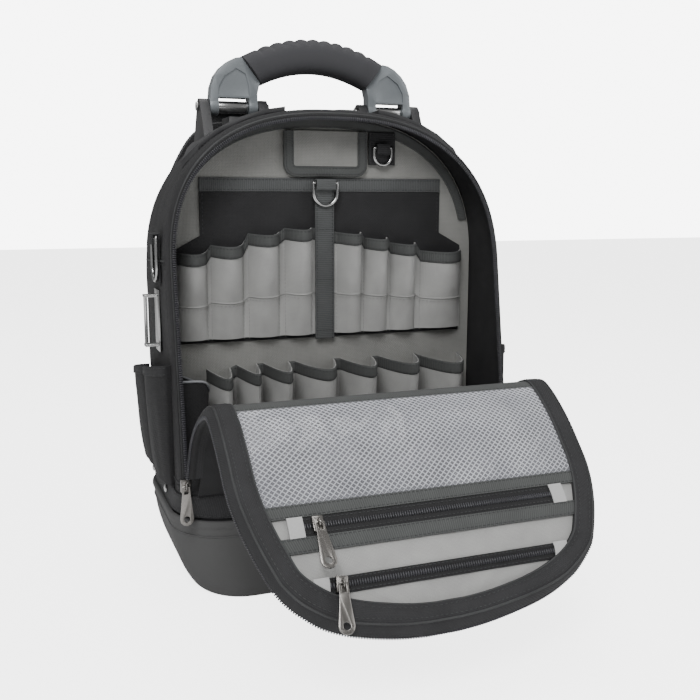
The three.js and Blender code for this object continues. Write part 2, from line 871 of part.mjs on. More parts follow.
/** The profile of a web that lies at near, runs up from foot and folds over a ring's bar at barZ. */
function foldedWeb(near, foot, barZ) {
  const t = webThickness;
  const reach = ringWire + 2 * fitGap;
  const top = barZ + ringWire / 2 + fitGap;
  return [
    [0, foot],
    [t, foot],
    [t, top],
    [t + reach, top],
    [t + reach, barZ - webHem],
    [2 * t + reach, barZ - webHem],
    [2 * t + reach, top + t],
    [0, top + t],
  ].map(([away, z]) => [near - away, z]);
}

function makeRings() {
  const across = v3(1, 0, 0);
  const down = v3(0, 0, -1);
  const off = webThickness + fitGap + ringWire / 2;
  const centreWidth = centreWebWidth + 2 * (ringWire + ringPlay);
  const centre = v3(centreWebX, centreWebBackY - off, centreRingZ);
  add("ring_centre", dRing(centre, across, down, centreWidth, centreRingHeight), colour.steel);
  const upper = v3(ringTabX, secondLayerY - off, upperRingZ);
  add("ring_upper", dRing(upper, across, down, upperRingWidth, upperRingHeight), colour.steel);
  const side = v3(-(shellHalfWidth + fitGap + off), sideRingY, sideRingZ);
  add("ring_side", dRing(side, v3(0, 1, 0), down, sideRingWidth, sideRingHeight), colour.steel);
  const half = sideRingWidth / 2 - ringWire - ringPlay;
  const loop = foldedWeb(-(shellHalfWidth + fitGap), sideRingZ - sideLoopDrop, sideRingZ);
  const placed = prism(loop, sideRingY - half, sideRingY + half, (x, z, y) => v3(x, y, z));
  add("ring_side_loop", placed, colour.blackWeb);
}

function makeTapeClip() {
  const face = -(shellHalfWidth + fitGap);
  const low = clipZ - clipHeight / 2;
  const high = clipZ + clipHeight / 2;
  const plate = block([face - clipPlate, clipY - clipWidth / 2, low], [face, clipY + clipWidth / 2, high]);
  const tip = face - clipPlate - clipReach;
  const half = clipEarWidth / 2;
  const seat = face - clipPlate / 2;
  const ear = (z) => block([tip, clipY - half, z], [seat, clipY + half, z + clipEarThickness]);
  const lowEar = low + clipEarInset;
  const highEar = high - clipEarInset - clipEarThickness;
  const onBar = (z) => v3(tip + clipRod / 2, clipY, z + clipEarThickness / 2);
  const bar = rod(onBar(lowEar), onBar(highEar), clipRod / 2, 8);
  add("tape_clip", join(plate, ear(lowEar), ear(highEar), bar), colour.steel);
}

/** An open pouch on the pack's right side, with two pleats. */
function sidePouch() {
  const inside = shellHalfWidth + fitGap;
  // columns: y share from front to back, how far the cloth stands out
  const pleat = [
    [0, 0.36],
    [0.08, 0.7],
    [0.25, 0.95],
    [0.42, 0.85],
    [0.5, 0.62],
    [0.58, 0.88],
    [0.78, 1],
    [0.93, 0.75],
    [1, 0.36],
  ];
  const ring = (share, full, inset) => {
    const outer = pleat.map(([s, out]) => {
      const y = lerp(sidePocketFrontY + inset, sidePocketBackY - inset, s);
      const top = lerp(sidePocketFrontZ, sidePocketBackZ, s);
      return v3(inside + sidePocketReach * out * full - inset, y, lerp(sidePocketBottom, top, share));
    });
    const wallX = inside + inset;
    const backTop = lerp(sidePocketBottom, sidePocketBackZ, share);
    const frontTop = lerp(sidePocketBottom, sidePocketFrontZ, share);
    outer.push(v3(wallX, sidePocketBackY - inset, backTop), v3(wallX, sidePocketFrontY + inset, frontTop));
    return outer;
  };
  const floorShare = 0.03;
  const t = clothThickness;
  return loft([
    ring(0, 0.55, 0),
    ring(0.4, 0.85, 0),
    ring(1, 1, 0),
    ring(1, 1, t),
    ring(0.4, 0.85, t),
    ring(floorShare, 0.62, t),
  ]);
}

/** The loose pocket on the inside of the left wall; its rim dips in the middle. */
function makeInnerPocket() {
  const wallX = -(shellHalfWidth - shellWall - fitGap);
  // columns: y share from front to back, how far the cloth stands out, how far the rim dips
  const shape = [
    [0, 0.3, 0],
    [0.12, 0.8, 0.15],
    [0.35, 1, 0.7],
    [0.6, 1, 1],
    [0.85, 0.8, 0.6],
    [1, 0.3, 0.2],
  ];
  const ring = (share, full, inset) => {
    const outer = shape.map(([s, out, dip]) =>
      v3(
        wallX + innerPocketReach * out * full - inset,
        lerp(innerPocketFrontY + inset, innerPocketBackY - inset, s),
        lerp(innerPocketBottom, innerPocketTop - innerPocketDip * dip, share),
      ),
    );
    const rim = lerp(innerPocketBottom, innerPocketTop, share);
    const seam = [innerPocketBackY - inset, innerPocketFrontY + inset].map((y) => v3(wallX + inset, y, rim));
    return [...outer, ...seam];
  };
  const t = clothThickness;
  const outside = [ring(0, 0.7, 0), ring(0.5, 0.9, 0), ring(1, 1, 0)];
  const inside = [ring(1, 1, t), ring(0.5, 0.9, t), ring(0.03, 0.75, t)];
  add("inner_pocket", loft([...outside, ...inside]), colour.blackCloth);
}

/** The dark band that follows the arch on the tool panel, above the cross web. */
function makeArchBand() {
  const outer = archOutline(archBandHalfWidth, archBandFoot, archBandTop, 26);
  const inner = archOutline(archBandHalfWidth - archBandWidth, archBandFoot, archBandTop - archBandWidth, 26);
  const high = outer.filter(([, z]) => z > archBandFoot);
  const rings = high.map(([xo, zo]) => {
    const i = outer.findIndex(([x, z]) => x === xo && z === zo);
    const [xi, zi] = inner[i];
    const back = firstLayerY;
    const front = firstLayerY - webThickness;
    return [v3(xo, back, zo), v3(xo, front, zo), v3(xi, front, zi), v3(xi, back, zi)];
  });
  add("arch_band", loft(rings), colour.greyWeb);
}

function makeSidePockets() {
  const right = sidePouch();
  add("side_pocket_right", right, colour.blackCloth);
  add("side_pocket_left", mirrored(right), colour.blackCloth);
}

// The folded front panel is drawn flat, as u across and s along, and then laid over this section.
const panelRootZ = hingeHeight - rootDrop;
const panelRootY = frontY(panelRootZ) - fitGap - rootShare * foldedThickness;
// Columns: share of the reach, share of the rise to the fold, share of the drop from the fold to the tip
const foldTable = [
  [0, 0, 0],
  [0.03, 0.16, 0],
  [0.052, 0.36, 0],
  [0.088, 0.6, 0],
  [0.165, 0.8, 0],
  [0.25, 0.925, 0],
  [0.345, 1, 0],
  [0.41, 1, 0.036],
  [0.483, 1, 0.108],
  [0.558, 1, 0.2],
  [0.621, 1, 0.295],
  [0.683, 1, 0.39],
  [0.733, 1, 0.475],
  [0.779, 1, 0.565],
  [0.825, 1, 0.67],
  [0.862, 1, 0.765],
  [0.9, 1, 0.855],
  [0.935, 1, 0.925],
  [0.97, 1, 0.972],
  [1, 1, 1],
];
const section = new THREE.CatmullRomCurve3(
  foldTable.map(([reach, rise, drop]) =>
    v3(0, panelRootY - foldedReach * reach, panelRootZ + foldRise * rise - tipDrop * drop),
  ),
  false,
  "centripetal",
);
section.arcLengthDivisions = 400;
const panelLength = section.getLength();

// Columns: share of the panel's length, share of how far its tip hangs off to the left
const swayTable = [
  [0.2, 0],
  [0.6, 0.21],
  [0.86, 0.25],
  [0.92, 0.38],
  [0.96, 0.63],
  [1, 1],
];

/** The point of the folded panel at u across and s along, lifted off its middle surface by h. */
function onPanel(u, s, h) {
  const share = Math.min(1, Math.max(0, s / panelLength));
  const shift = -tipSway * along(swayTable, share);
  const p = section.getPointAt(share);
  const t = section.getTangentAt(share);
  p.addScaledVector(t, s - share * panelLength);
  return v3(u + shift, p.y + t.z * h, p.z - t.y * h);
}

// Columns: share of the panel's length, share of its half width
const outlineTable = [
  [0, 1],
  [0.3, 0.968],
  [0.42, 0.953],
  [0.55, 0.945],
  [0.65, 0.936],
  [0.7, 0.92],
  [0.74, 0.9],
  [0.78, 0.874],
  [0.82, 0.842],
  [0.86, 0.803],
  [0.893, 0.744],
  [0.922, 0.67],
  [0.947, 0.578],
  [0.968, 0.46],
  [0.984, 0.32],
  [0.995, 0.19],
  [1, 0.08],
];

/** Points of the panel's right edge as [u, s] from the root to the tip, moved inwards by inset. */
function edgeLine(inset) {
  const raw = outlineTable.map(([s, w]) => new THREE.Vector2(w * panelHalfWidth, s * panelLength));
  return raw.map((p, i) => {
    const before = raw[Math.max(0, i - 1)];
    const after = raw[Math.min(raw.length - 1, i + 1)];
    const run = after.clone().sub(before).normalize();
    const s = i === 0 ? p.y : p.y + run.x * inset;
    return [Math.max(3, p.x - run.y * inset), s];
  });
}

/** Half the width of the panel inset by some distance, at s along. */
function halfWidthAt(inset, s) {
  return along(edgeLine(inset).map(([u, at]) => [at, u]), s);
}

/** A plate laid on the panel between two lengths, h0 to h1 above its middle, width(s) to each side. */
function panelPlate(from, to, steps, h0, h1, width) {
  const rings = Array.from({ length: steps + 1 }, (_, i) => {
    const s = lerp(from, to, i / steps);
    const w = width(s);
    return [onPanel(-w, s, h0), onPanel(w, s, h0), onPanel(w, s, h1), onPanel(-w, s, h1)];
  });
  return loft(rings);
}

const coreTop = foldedThickness / 2;
const coreInset = borderFlat + coreTuck;

// Columns: stretch of the outline, how many parts it is divided into
const edgeParts = [
  [1, 7],
  [2, 2],
  [3, 2],
  [4, 1],
];

/** An edge line with more points where the panel bends most. */
function fineEdge(inset, from) {
  const fine = [];
  edgeLine(inset).forEach(([u, s], i, line) => {
    if (i > 0) {
      const [u0, s0] = line[i - 1];
      const parts = along(edgeParts, i);
      for (let k = 1; k < parts; k++) fine.push([lerp(u0, u, k / parts), lerp(s0, s, k / parts)]);
    }
    fine.push([u, s]);
  });
  const kept = fine.filter(([, s]) => s > from + 3);
  return [[halfWidthAt(inset, from), from], ...kept];
}

function makeFrontPanel() {
  const rings = fineEdge(coreInset, 0).map(([u, s]) => [
    onPanel(-u, s, -coreTop),
    onPanel(u, s, -coreTop),
    onPanel(u, s, coreTop),
    onPanel(-u, s, coreTop),
  ]);
  add("front_panel", loft(rings), colour.greyCloth);
}

/** Stations right round the panel's edge, from the left root over the tip to the right root, at an inset. */
function roundEdge(inset) {
  const right = fineEdge(inset, borderStart);
  return [...right.map(([u, s]) => [-u, s]), ...right.reverse()];
}

function makeBorder() {
  const inner = roundEdge(borderWidth);
  const middle = roundEdge(borderFlat);
  const outer = roundEdge(0);
  const low = coreTop + fitGap;
  const high = low + borderThickness;
  const rings = inner.map(([ui, si], i) => {
    const [uo, so] = outer[i];
    const [um, sm] = middle[i];
    return [
      onPanel(ui, si, low),
      onPanel(um, sm, low),
      onPanel(uo, so, low - edgeCurl),
      onPanel(uo, so, high - borderStep - edgeCurl),
      onPanel(um, sm, high),
      onPanel(ui, si, high),
    ];
  });
  add("panel_border", loft(rings), colour.blackCloth);
  const zipInner = roundEdge(panelZipWidth);
  const zipRings = zipInner.map(([ui, si], i) => {
    const [uo, so] = outer[i];
    const drop = [1 - panelZipWidth / borderFlat, 1].map((share) => edgeCurl * share);
    const low = coreTop - zipThickness;
    return [
      onPanel(ui, si, low - drop[0]),
      onPanel(uo, so, low - drop[1]),
      onPanel(uo, so, coreTop - drop[1]),
      onPanel(ui, si, coreTop - drop[0]),
    ];
  });
  add("panel_zip_half", loft(zipRings), colour.zip);
}

const at = (share) => share * panelLength;
const trimLow = coreTop + fitGap;
const trimHigh = trimLow + trimThickness;
const insideBorder = (s) => halfWidthAt(borderWidth + fitGap, s);

/** The clear window over its mesh, which stands up a little from the panel. */
function makeMeshWindow() {
  const windowFrom = at(foldRibbonTo) + fitGap;
  const windowEnd = at(windowTo) - fitGap;
  const across = 8;
  const steps = 8;
  const sheet = (lift) =>
    Array.from({ length: steps + 1 }, (_, i) => {
      const t = i / steps;
      const s = lerp(windowFrom, windowEnd, t);
      return Array.from({ length: across + 1 }, (_, j) => {
        const v = (2 * j) / across - 1;
        const bulge = windowBulge * Math.sin(Math.PI * t) ** 0.5 * (1 - v ** 4);
        return onPanel(v * insideBorder(s), s, trimLow + lift + bulge);
      });
    });
  add("mesh_window", wall(sheet(windowThickness), sheet(0)), colour.clearSheet);
}

/** The ribbons and zips that lie across the panel. */
function makePanelTrims() {
  const ribbon = (name, from, to, steps) =>
    add(name, panelPlate(from, to, steps, trimLow, trimHigh, insideBorder), colour.greyWeb);
  const zip = (name, from, to, half) => {
    const width = (s) => Math.min(half, insideBorder(s) - fitGap);
    add(name, panelPlate(from, to, 3, trimLow, trimHigh, width), colour.zip);
  };
  ribbon("fold_ribbon", at(foldRibbonFrom), at(foldRibbonTo), 3);
  ribbon("window_ribbon", at(windowTo), at(zipAFrom) - fitGap, 2);
  zip("pocket_zip_upper", at(zipAFrom), at(zipATo), zipHalfLength);
  ribbon("zip_ribbon", at(zipATo) + fitGap, at(zipRibbonTo), 2);
  zip("pocket_zip_lower", at(zipBFrom), at(zipBTo), zipBHalfLength);
}

const pullBarHeight = sliderHeight + bailInner - bailSink;

/** The bail as a bent wire over the slider, in the slider's own frame. */
function bail() {
  const steps = 6;
  const radius = bailInner + bailWire / 2;
  const arc = Array.from({ length: steps + 1 }, (_, i) => {
    const a = (Math.PI * i) / steps;
    return [radius * Math.cos(a), pullBarHeight + radius * Math.sin(a)];
  });
  const foot = sliderHeight - bailWire;
  const path = [[radius, foot], ...arc, [-radius, foot]];
  const sides = 6;
  const rings = path.map(([y, z], i) => {
    const [y0, z0] = path[Math.max(0, i - 1)];
    const [y1, z1] = path[Math.min(path.length - 1, i + 1)];
    const tangent = new THREE.Vector2(y1 - y0, z1 - z0).normalize();
    return Array.from({ length: sides }, (_, k) => {
      const a = (2 * Math.PI * k) / sides;
      const r = (bailWire / 2) * Math.sin(a);
      return v3((bailWire / 2) * Math.cos(a), y - tangent.y * r, z + tangent.x * r);
    });
  });
  return loft(rings);
}

/** The pull that hangs on the bail: a bar through it, an eye, and a plate with a round hole near its end. */
function pull() {
  const thin = pullThickness / 2;
  const half = pullTopWidth / 2;
  const end = pullEndWidth / 2;
  const neck = pullEye + 2;
  const centre = pullLength - end;
  const round = [1, 2, 3, 4, 5].map((i) => {
    const a = (Math.PI * i) / 6;
    return [end * Math.cos(a), centre + end * Math.sin(a)];
  });
  const right = [[half, 0], [half, neck], [end, centre]];
  const outline = [...right, ...round, ...right.map(([x, y]) => [-x, y]).reverse()];
  const plate = prism(outline, -thin, thin, (x, y, z) => v3(x, y, z));
  const eye = block([-half + eyeWall, thin, -overcut], [half - eyeWall, pullEye, overcut]);
  const hole = rod(v3(0, centre, -overcut), v3(0, centre, overcut), pullHoleRadius, 10);
  const bar = rod(v3(-half, 0, 0), v3(half, 0, 0), thin, 8);
  return join(cut(plate, eye, hole), bar);
}

/** A slider with its bail, and the pull on it. The pull lies along down, and out points off the cloth. */
function makeSlider(name, seat, down, out, tilt) {
  const across = down.clone().cross(out).normalize();
  const frame = new THREE.Matrix4().makeBasis(across, down, out).setPosition(seat);
  const halfWidth = sliderWidth / 2;
  const halfLength = sliderLength / 2;
  const body = block([-halfWidth, -halfLength, 0], [halfWidth, halfLength, sliderHeight]);
  add(`slider_${name}`, join(body, bail()).applyMatrix4(frame), colour.steel);
  const turn = new THREE.Matrix4().makeRotationX(tilt).setPosition(0, 0, pullBarHeight);
  add(`pull_${name}`, pull().applyMatrix4(turn).applyMatrix4(frame), colour.steel);
}

function makeSliders() {
  const lift = trimHigh + fitGap;
  for (const [name, share, u] of [
    ["pocket_upper", (zipAFrom + zipATo) / 2, -zipHalfLength * sliderShare],
    ["pocket_lower", (zipBFrom + zipBTo) / 2, -zipBHalfLength * sliderShare],
  ]) {
    const s = at(share);
    const seat = onPanel(u, s, lift);
    const down = onPanel(u, s + 1, lift).sub(onPanel(u, s - 1, lift)).normalize();
    const out = onPanel(u, s, lift + 1).sub(seat).normalize();
    makeSlider(name, seat, down, out, pullTilt);
  }
  const z = bodyZipFoot - fitGap - sliderLength / 2;
  const x = panelHalfWidth - mainSliderInset;
  for (const [name, side] of [["main_left", -1], ["main_right", 1]]) {
    makeSlider(name, v3(side * x, frontY(z) - mainSliderGap, z), v3(0, 0, -1), v3(0, -1, 0), 0);
  }
}

// Handle: a rubber grip on two forked legs, which turn on steel pins in the brackets.
const legMidZ = pinZ + legBarrelRadius;

/** The right leg's outline as [x, z]: a fork below, a fin that curves in to the grip's end above. */
function legOutline() {
  const rise = gripEndTopZ - pinZ;
  const top = [gripHalfTop + fitGap, gripEndTopZ - legSeatTop];
  const bottom = [gripHalfBottom + legSeatOut + fitGap, gripEndBottomZ + legSeatBottom];
  // columns: share of the way out from the grip's end, share of the way up
  const back = [
    [1, 0.1],
    [0.96, 0.38],
    [0.84, 0.6],
    [0.66, 0.76],
    [0.42, 0.89],
    [0.2, 0.96],
  ].map(([out, up]) => [lerp(gripHalfTop, legOuterX, out), pinZ + rise * up]);
  return [
    [legInnerX, pinZ],
    [legInnerX + legArm, pinZ],
    [legInnerX + legArm, legMidZ],
    [legOuterX - legArm, legMidZ],
    [legOuterX - legArm, pinZ],
    [legOuterX, pinZ],
    ...back,
    top,
    bottom,
    [legInnerX, lerp(pinZ, bottom[1], 0.55)],
  ];
}

function rightLeg() {
  const half = legDepth / 2;
  const plate = prism(legOutline(), handleY - half, handleY + half, facingY);
  const barrel = (x) => rod(v3(x, handleY, pinZ), v3(x + legArm, handleY, pinZ), legBarrelRadius, 16);
  const bore = rod(
    v3(legInnerX - overcut, handleY, pinZ),
    v3(legOuterX + overcut, handleY, pinZ),
    pinRadius + pinPlay,
    14,
  );
  const rise = gripEndTopZ - pinZ;
  const left = legInnerX + legRim;
  const right = legOuterX - legRim;
  const foot = [
    [left, legMidZ + legRecess],
    [right, legMidZ + legRecess],
  ];
  // columns: share of the recess's width from its left, share of the leg's rise
  const fin = [
    [0.97, 0.4],
    [0.79, 0.6],
    [0.42, 0.76],
    [0.12, 0.66],
    [0.03, 0.45],
  ].map(([out, up]) => [lerp(left, right, out), pinZ + rise * up]);
  const recess = (from, to) => prism([...foot, ...fin], from, to, facingY);
  const front = recess(handleY - half - overcut, handleY - half + legRecess);
  const back = recess(handleY + half - legRecess, handleY + half + overcut);
  return cut(join(plate, barrel(legInnerX), barrel(legOuterX - legArm)), bore, front, back);
}

function makeGrip() {
  const stations = 32;
  const sides = 10;
  const rings = Array.from({ length: stations + 1 }, (_, i) => {
    const t = (2 * i) / stations - 1;
    const bow = 1 - t * t;
    const top = v3(t * gripHalfTop, handleY, lerp(gripEndTopZ, gripMidTopZ, bow));
    const bottom = v3(t * gripHalfBottom, handleY, lerp(gripEndBottomZ, gripMidBottomZ, bow));
    const count = Math.round((t / ribbedShare + 1) * gripRibs);
    const rib = Math.abs(t) < ribbedShare && count % 2 ? gripRib : 0;
    const slim = lerp(gripEndSlim, 1, smooth((1 - Math.abs(t)) * 4));
    return Array.from({ length: sides }, (_, k) => {
      const a = (2 * Math.PI * k) / sides;
      const up = Math.cos(a);
      const share = (1 + Math.sign(up) * Math.abs(up) ** 0.8) / 2;
      const p = bottom.clone().lerp(top, share);
      p.y += (gripDepth / 2) * slim * Math.sign(Math.sin(a)) * Math.abs(Math.sin(a)) ** 0.8;
      if (up > 0.5) p.addScaledVector(top.clone().sub(bottom).normalize(), rib - gripRib);
      return p;
    });
  });
  add("grip", loft(rings), colour.gripRubber);
}

const outerEarX = legOuterX + earGap;
const innerEarX = legInnerX - earGap - earThickness;

function rightBracket() {
  // columns: share of the saddle's width from its inner side, share of its length from its front
  const outlineXY = [
    [0, 0],
    [0.86, 0],
    [1, 0.09],
    [0.94, 0.26],
    [0.74, 0.88],
    [0.61, 1],
    [0, 1],
  ].map(([out, back]) => [lerp(saddleInnerX, saddleTipX, out), lerp(saddleFrontY, saddleBackY, back)]);
  const region = prism(outlineXY, shoulderHeight, shellTop + farDepth, (x, y, z) => v3(x, y, z));
  const saddle = common(shellBlock(saddleThickness, shellFoot), region);
  const ear = (x) => {
    const front = handleY - earSpread;
    const back = handleY + earSpread;
    const foot = shellTop - saddleDepth;
    const shoulder = shellTop - earShoulder;
    const round = [1, 2, 3, 4, 5, 6, 7].map((i) => {
      const a = (Math.PI * i) / 8;
      return [handleY + earRadius * Math.cos(a), pinZ + earRadius * Math.sin(a)];
    });
    const outline = [[front, foot], [back, foot], [back, shoulder], ...round, [front, shoulder]];
    return prism(outline, x, x + earThickness, facingX);
  };
  const middle = (legInnerX + legOuterX) / 2;
  const rest = block(
    [middle - restWidth / 2, handleY - restDepth / 2, shellTop - saddleDepth],
    [middle + restWidth / 2, handleY + restDepth / 2, pinZ - legBarrelRadius - barrelPlay],
  );
  const bore = rod(
    v3(innerEarX - overcut, handleY, pinZ),
    v3(outerEarX + earThickness + overcut, handleY, pinZ),
    pinRadius + pinPlay,
    14,
  );
  const sweep = (x) =>
    rod(
      v3(x - earGap, handleY, pinZ),
      v3(x + legArm + earGap, handleY, pinZ),
      legBarrelRadius + barrelPlay,
      20,
    );
  const made = join(saddle, ear(innerEarX), ear(outerEarX), rest);
  return cut(made, bore, sweep(legInnerX), sweep(legOuterX - legArm), shellBlock(fitGap, shellFoot));
}

function rightPin() {
  const from = innerEarX;
  const to = outerEarX + earThickness;
  const shaft = rod(v3(from - fitGap, handleY, pinZ), v3(to + fitGap, handleY, pinZ), pinRadius, 14);
  const head = (x, side) =>
    rod(v3(x, handleY, pinZ), v3(x + side * pinHeadHeight, handleY, pinZ), pinHeadRadius, 14);
  const sleeve = rod(
    v3(legInnerX + legArm + fitGap, handleY, pinZ),
    v3(legOuterX - legArm - fitGap, handleY, pinZ),
    sleeveRadius,
    20,
  );
  return join(shaft, head(from - fitGap, -1), head(to + fitGap, 1), sleeve);
}

function makeHandle() {
  for (const [name, make, finish] of [
    ["leg", rightLeg, colour.handleMetal],
    ["bracket", rightBracket, colour.plastic],
    ["pin", rightPin, colour.steel],
  ]) {
    const right = make();
    add(`${name}_right`, right, finish);
    add(`${name}_left`, mirrored(right), finish);
  }
  makeGrip();
}

// Back pad and harness
function makeBackPad() {
  // columns: share of the way in from the pad's full half width, share of its height
  const right = [
    [0.57, 0],
    [0.21, 0.056],
    [0, 0.226],
    [0, 0.63],
    [0.536, 0.859],
    [0.893, 0.96],
    [1.25, 1],
  ].map(([x, z]) => [padHalfWidth - x * (padHalfWidth - padTopHalfWidth), lerp(padFootZ, padTop, z)]);
  const outline = [...right, ...right.map(([x, z]) => [-x, z]).reverse()];
  const near = shellBackY + fitGap;
  const middle = (padFootZ + padTop) / 2;
  const shrink = (k) => outline.map(([x, z]) => [x * k, middle + (z - middle) * k]);
  const rings = [
    [near, 1],
    [near + padThickness * 0.6, 1],
    [near + padThickness, 0.965],
  ].map(([y, k]) => shrink(k).map(([x, z]) => v3(x, y, z)));
  add("back_pad", loft(rings), colour.pad);
}

const padFaceY = shellBackY + fitGap + padThickness;
const strapNearY = padFaceY + fitGap + strapThickness / 2;
// Columns: share of the strap's height from its top, how far it bows off the pad, share of its sideways run
const strapTable = [
  [0, 0, 0],
  [0.07, 0, 0.02],
  [0.2, 0.6, 0.1],
  [0.4, 1, 0.28],
  [0.6, 1, 0.52],
  [0.8, 0.7, 0.78],
  [1, 0.3, 1],
];

// A band's section with softened edges, as shares of its half width and half thickness
const bandSection = [
  [-1, -0.5],
  [-0.9, -1],
  [0.9, -1],
  [1, -0.5],
  [1, 0.5],
  [0.9, 1],
  [-0.9, 1],
  [-1, 0.5],
];

/** A flat band through a row of centres, as wide at each as widths says. */
function band(centres, widths, thickness, across) {
  const rings = centres.map((p, i) => {
    const before = centres[Math.max(0, i - 1)];
    const after = centres[Math.min(centres.length - 1, i + 1)];
    const tangent = after.clone().sub(before).normalize();
    const side = across.clone().addScaledVector(tangent, -across.dot(tangent)).normalize();
    const out = side.clone().cross(tangent).normalize();
    const w = widths[i] / 2;
    const h = thickness / 2;
    return bandSection.map(([a, b]) => p.clone().addScaledVector(side, a * w).addScaledVector(out, b * h));
  });
  return loft(rings);
}

/** The right strap's centre line, from the end under the handle's bracket to the buckle. */
function strapLine() {
  const topZ = strapTopZ - strapThickness / 2;
  const line = [1, 0.3].map((share) => v3(strapTopX, strapNearY - strapHook * share, topZ));
  for (const [fall, bow, run] of strapTable) {
    const x = lerp(strapTopX, strapFootX, run);
    line.push(v3(x, strapNearY + strapBow * bow, lerp(topZ - strapThickness, strapFootZ, fall)));
  }
  return line;
}

function rightBuckle(foot) {
  const half = buckleWidth / 2;
  const thin = buckleThickness / 2;
  const top = foot.z - buckleGap;
  const bottom = top - buckleHeight;
  const frame = block([foot.x - half, foot.y - thin, bottom], [foot.x + half, foot.y + thin, top]);
  const slot = (z) =>
    block(
      [foot.x - half + buckleRail, foot.y - thin - overcut, z],
      [foot.x + half - buckleRail, foot.y + thin + overcut, z + buckleSlot],
    );
  const low = bottom + buckleRail;
  return cut(frame, slot(low), slot(low + buckleSlot + buckleRail));
}

function makeHarness() {
  const line = strapLine();
  const last = line.length - 1;
  const widths = line.map((_, i) => strapWidth * (i < 2 ? 0.86 : i === last ? 0.7 : 1));
  const foot = line[last];
  const bottom = foot.z - buckleGap - buckleHeight;
  const start = v3(foot.x, foot.y, bottom - lowerWebGap);
  const end = v3(lowerWebFootX, padFaceY + lowerWebLift, lowerWebFootZ);
  const webLine = [0, 0.25, 0.5, 0.75, 1].map((t) => start.clone().lerp(end, t));
  const across = v3(1, 0, 0);
  for (const [name, right, finish] of [
    ["strap", band(line, widths, strapThickness, across), colour.pad],
    ["buckle", rightBuckle(foot), colour.plastic],
    ["lower_web", band(webLine, webLine.map(() => lowerWebWidth), webThickness, across), colour.blackWeb],
  ]) {
    add(`${name}_right`, right, finish);
    add(`${name}_left`, mirrored(right), finish);
  }
}

makeTub();
makeShell();
makeBodyZip();
makeBand();
makeRivets();
makeToolPanel();
makeDocumentPocket();
makePockets();
makeCentreWeb();
makeTopFlap();
makeArchBand();
makeInnerPocket();
makeRings();
makeTapeClip();
makeSidePockets();
makeFrontPanel();
makeBorder();
makeMeshWindow();
makePanelTrims();
makeSliders();
makeHandle();
makeBackPad();
makeHarness();

export default part;
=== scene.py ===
"""A tool backpack standing on its rubber tub, with the zipped front panel folded open."""

from __future__ import annotations

import logging
import math
from dataclasses import dataclass, field
from enum import Enum
from typing import Callable, Sequence

import bpy
import numpy as np
from mathutils import Matrix, Vector

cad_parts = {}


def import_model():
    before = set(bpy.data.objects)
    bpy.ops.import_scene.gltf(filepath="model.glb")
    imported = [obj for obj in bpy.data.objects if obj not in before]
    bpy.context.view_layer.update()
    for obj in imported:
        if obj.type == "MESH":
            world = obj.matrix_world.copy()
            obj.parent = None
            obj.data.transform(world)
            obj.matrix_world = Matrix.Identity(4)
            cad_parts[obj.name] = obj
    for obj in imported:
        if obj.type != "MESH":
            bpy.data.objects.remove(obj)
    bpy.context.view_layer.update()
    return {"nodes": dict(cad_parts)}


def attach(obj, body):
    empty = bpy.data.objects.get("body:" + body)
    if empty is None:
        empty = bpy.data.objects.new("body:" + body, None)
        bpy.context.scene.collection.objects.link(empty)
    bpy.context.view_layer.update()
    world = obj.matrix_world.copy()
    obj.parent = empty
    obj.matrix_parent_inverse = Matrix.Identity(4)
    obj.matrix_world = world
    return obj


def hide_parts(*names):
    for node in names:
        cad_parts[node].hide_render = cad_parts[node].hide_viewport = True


LOG = logging.getLogger("backpack")
MM = 0.001
PHOTO_PIXELS = 700
SENSOR = 36.0
HALF_WIDTH = 176.0  # of the shell
SHELL_BACK = 95.0
TUB_HEIGHT = 82.0
HINGE_HEIGHT = 120.0  # where the slanted front plane starts
FRONT_LEAN = 0.156  # how far the front plane goes back for each millimetre up
BACK_FALL = 0.05  # how far the shell's top falls for each millimetre back
ARCH_SHOULDER = 316.0  # where the arch's sides start to bend
ARCH_POWER = 2.45
TOOTH_PITCH = 2.1
FORWARD = np.array([0, -1.0, 0])
OFF_ZIP = np.array([0, -1, 0.15])
ON_PANEL = (0, -0.5, 1)
ON_FACE = (0, -0.6, 1)
FIT_GAP = 0.35  # between pieces that lie on each other

Surface = Callable[[np.ndarray, np.ndarray], np.ndarray]
Table = Sequence[Sequence[float]]


# Small helpers for meshes


def pick(obj: bpy.types.Object) -> None:
    """Makes obj the only selected object, and the active one."""
    bpy.ops.object.select_all(action="DESELECT")
    obj.select_set(True)
    bpy.context.view_layer.objects.active = obj


def named(obj: bpy.types.Object, name: str) -> bpy.types.Object:
    """Gives an object and its mesh one name, and returns the object."""
    obj.name = name
    obj.data.name = name
    return obj


def modify(obj: bpy.types.Object, kind: str, **settings: object) -> None:
    """Adds a modifier with its settings and applies it at once.

    Args:
        obj: The piece that it works on.
        kind: The modifier's type.
        **settings: The modifier's properties.
    """
    pick(obj)
    modifier = obj.modifiers.new(kind.title(), kind)
    for key, value in settings.items():
        setattr(modifier, key, value)
    bpy.ops.object.modifier_apply(modifier=modifier.name)


def edit(obj: bpy.types.Object, *steps: Callable[[], object]) -> None:
    """Runs edit mode steps on all of an object's mesh.

    Args:
        obj: The piece that is edited.
        *steps: Operators to call, in order, with everything selected first.
    """
    pick(obj)
    bpy.ops.object.mode_set(mode="EDIT")
    bpy.ops.mesh.select_all(action="SELECT")
    for step in steps:
        step()
    bpy.ops.object.mode_set(mode="OBJECT")


def points_of(obj: bpy.types.Object) -> np.ndarray:
    """Returns the vertices of an object as an array of rows."""
    flat = np.empty(len(obj.data.vertices) * 3)
    obj.data.vertices.foreach_get("co", flat)
    return flat.reshape(-1, 3)


def place_points(obj: bpy.types.Object, points: np.ndarray) -> None:
    """Writes an array of rows back as the vertices of an object."""
    obj.data.vertices.foreach_set("co", np.ascontiguousarray(points, dtype=float).ravel())
    obj.data.update()


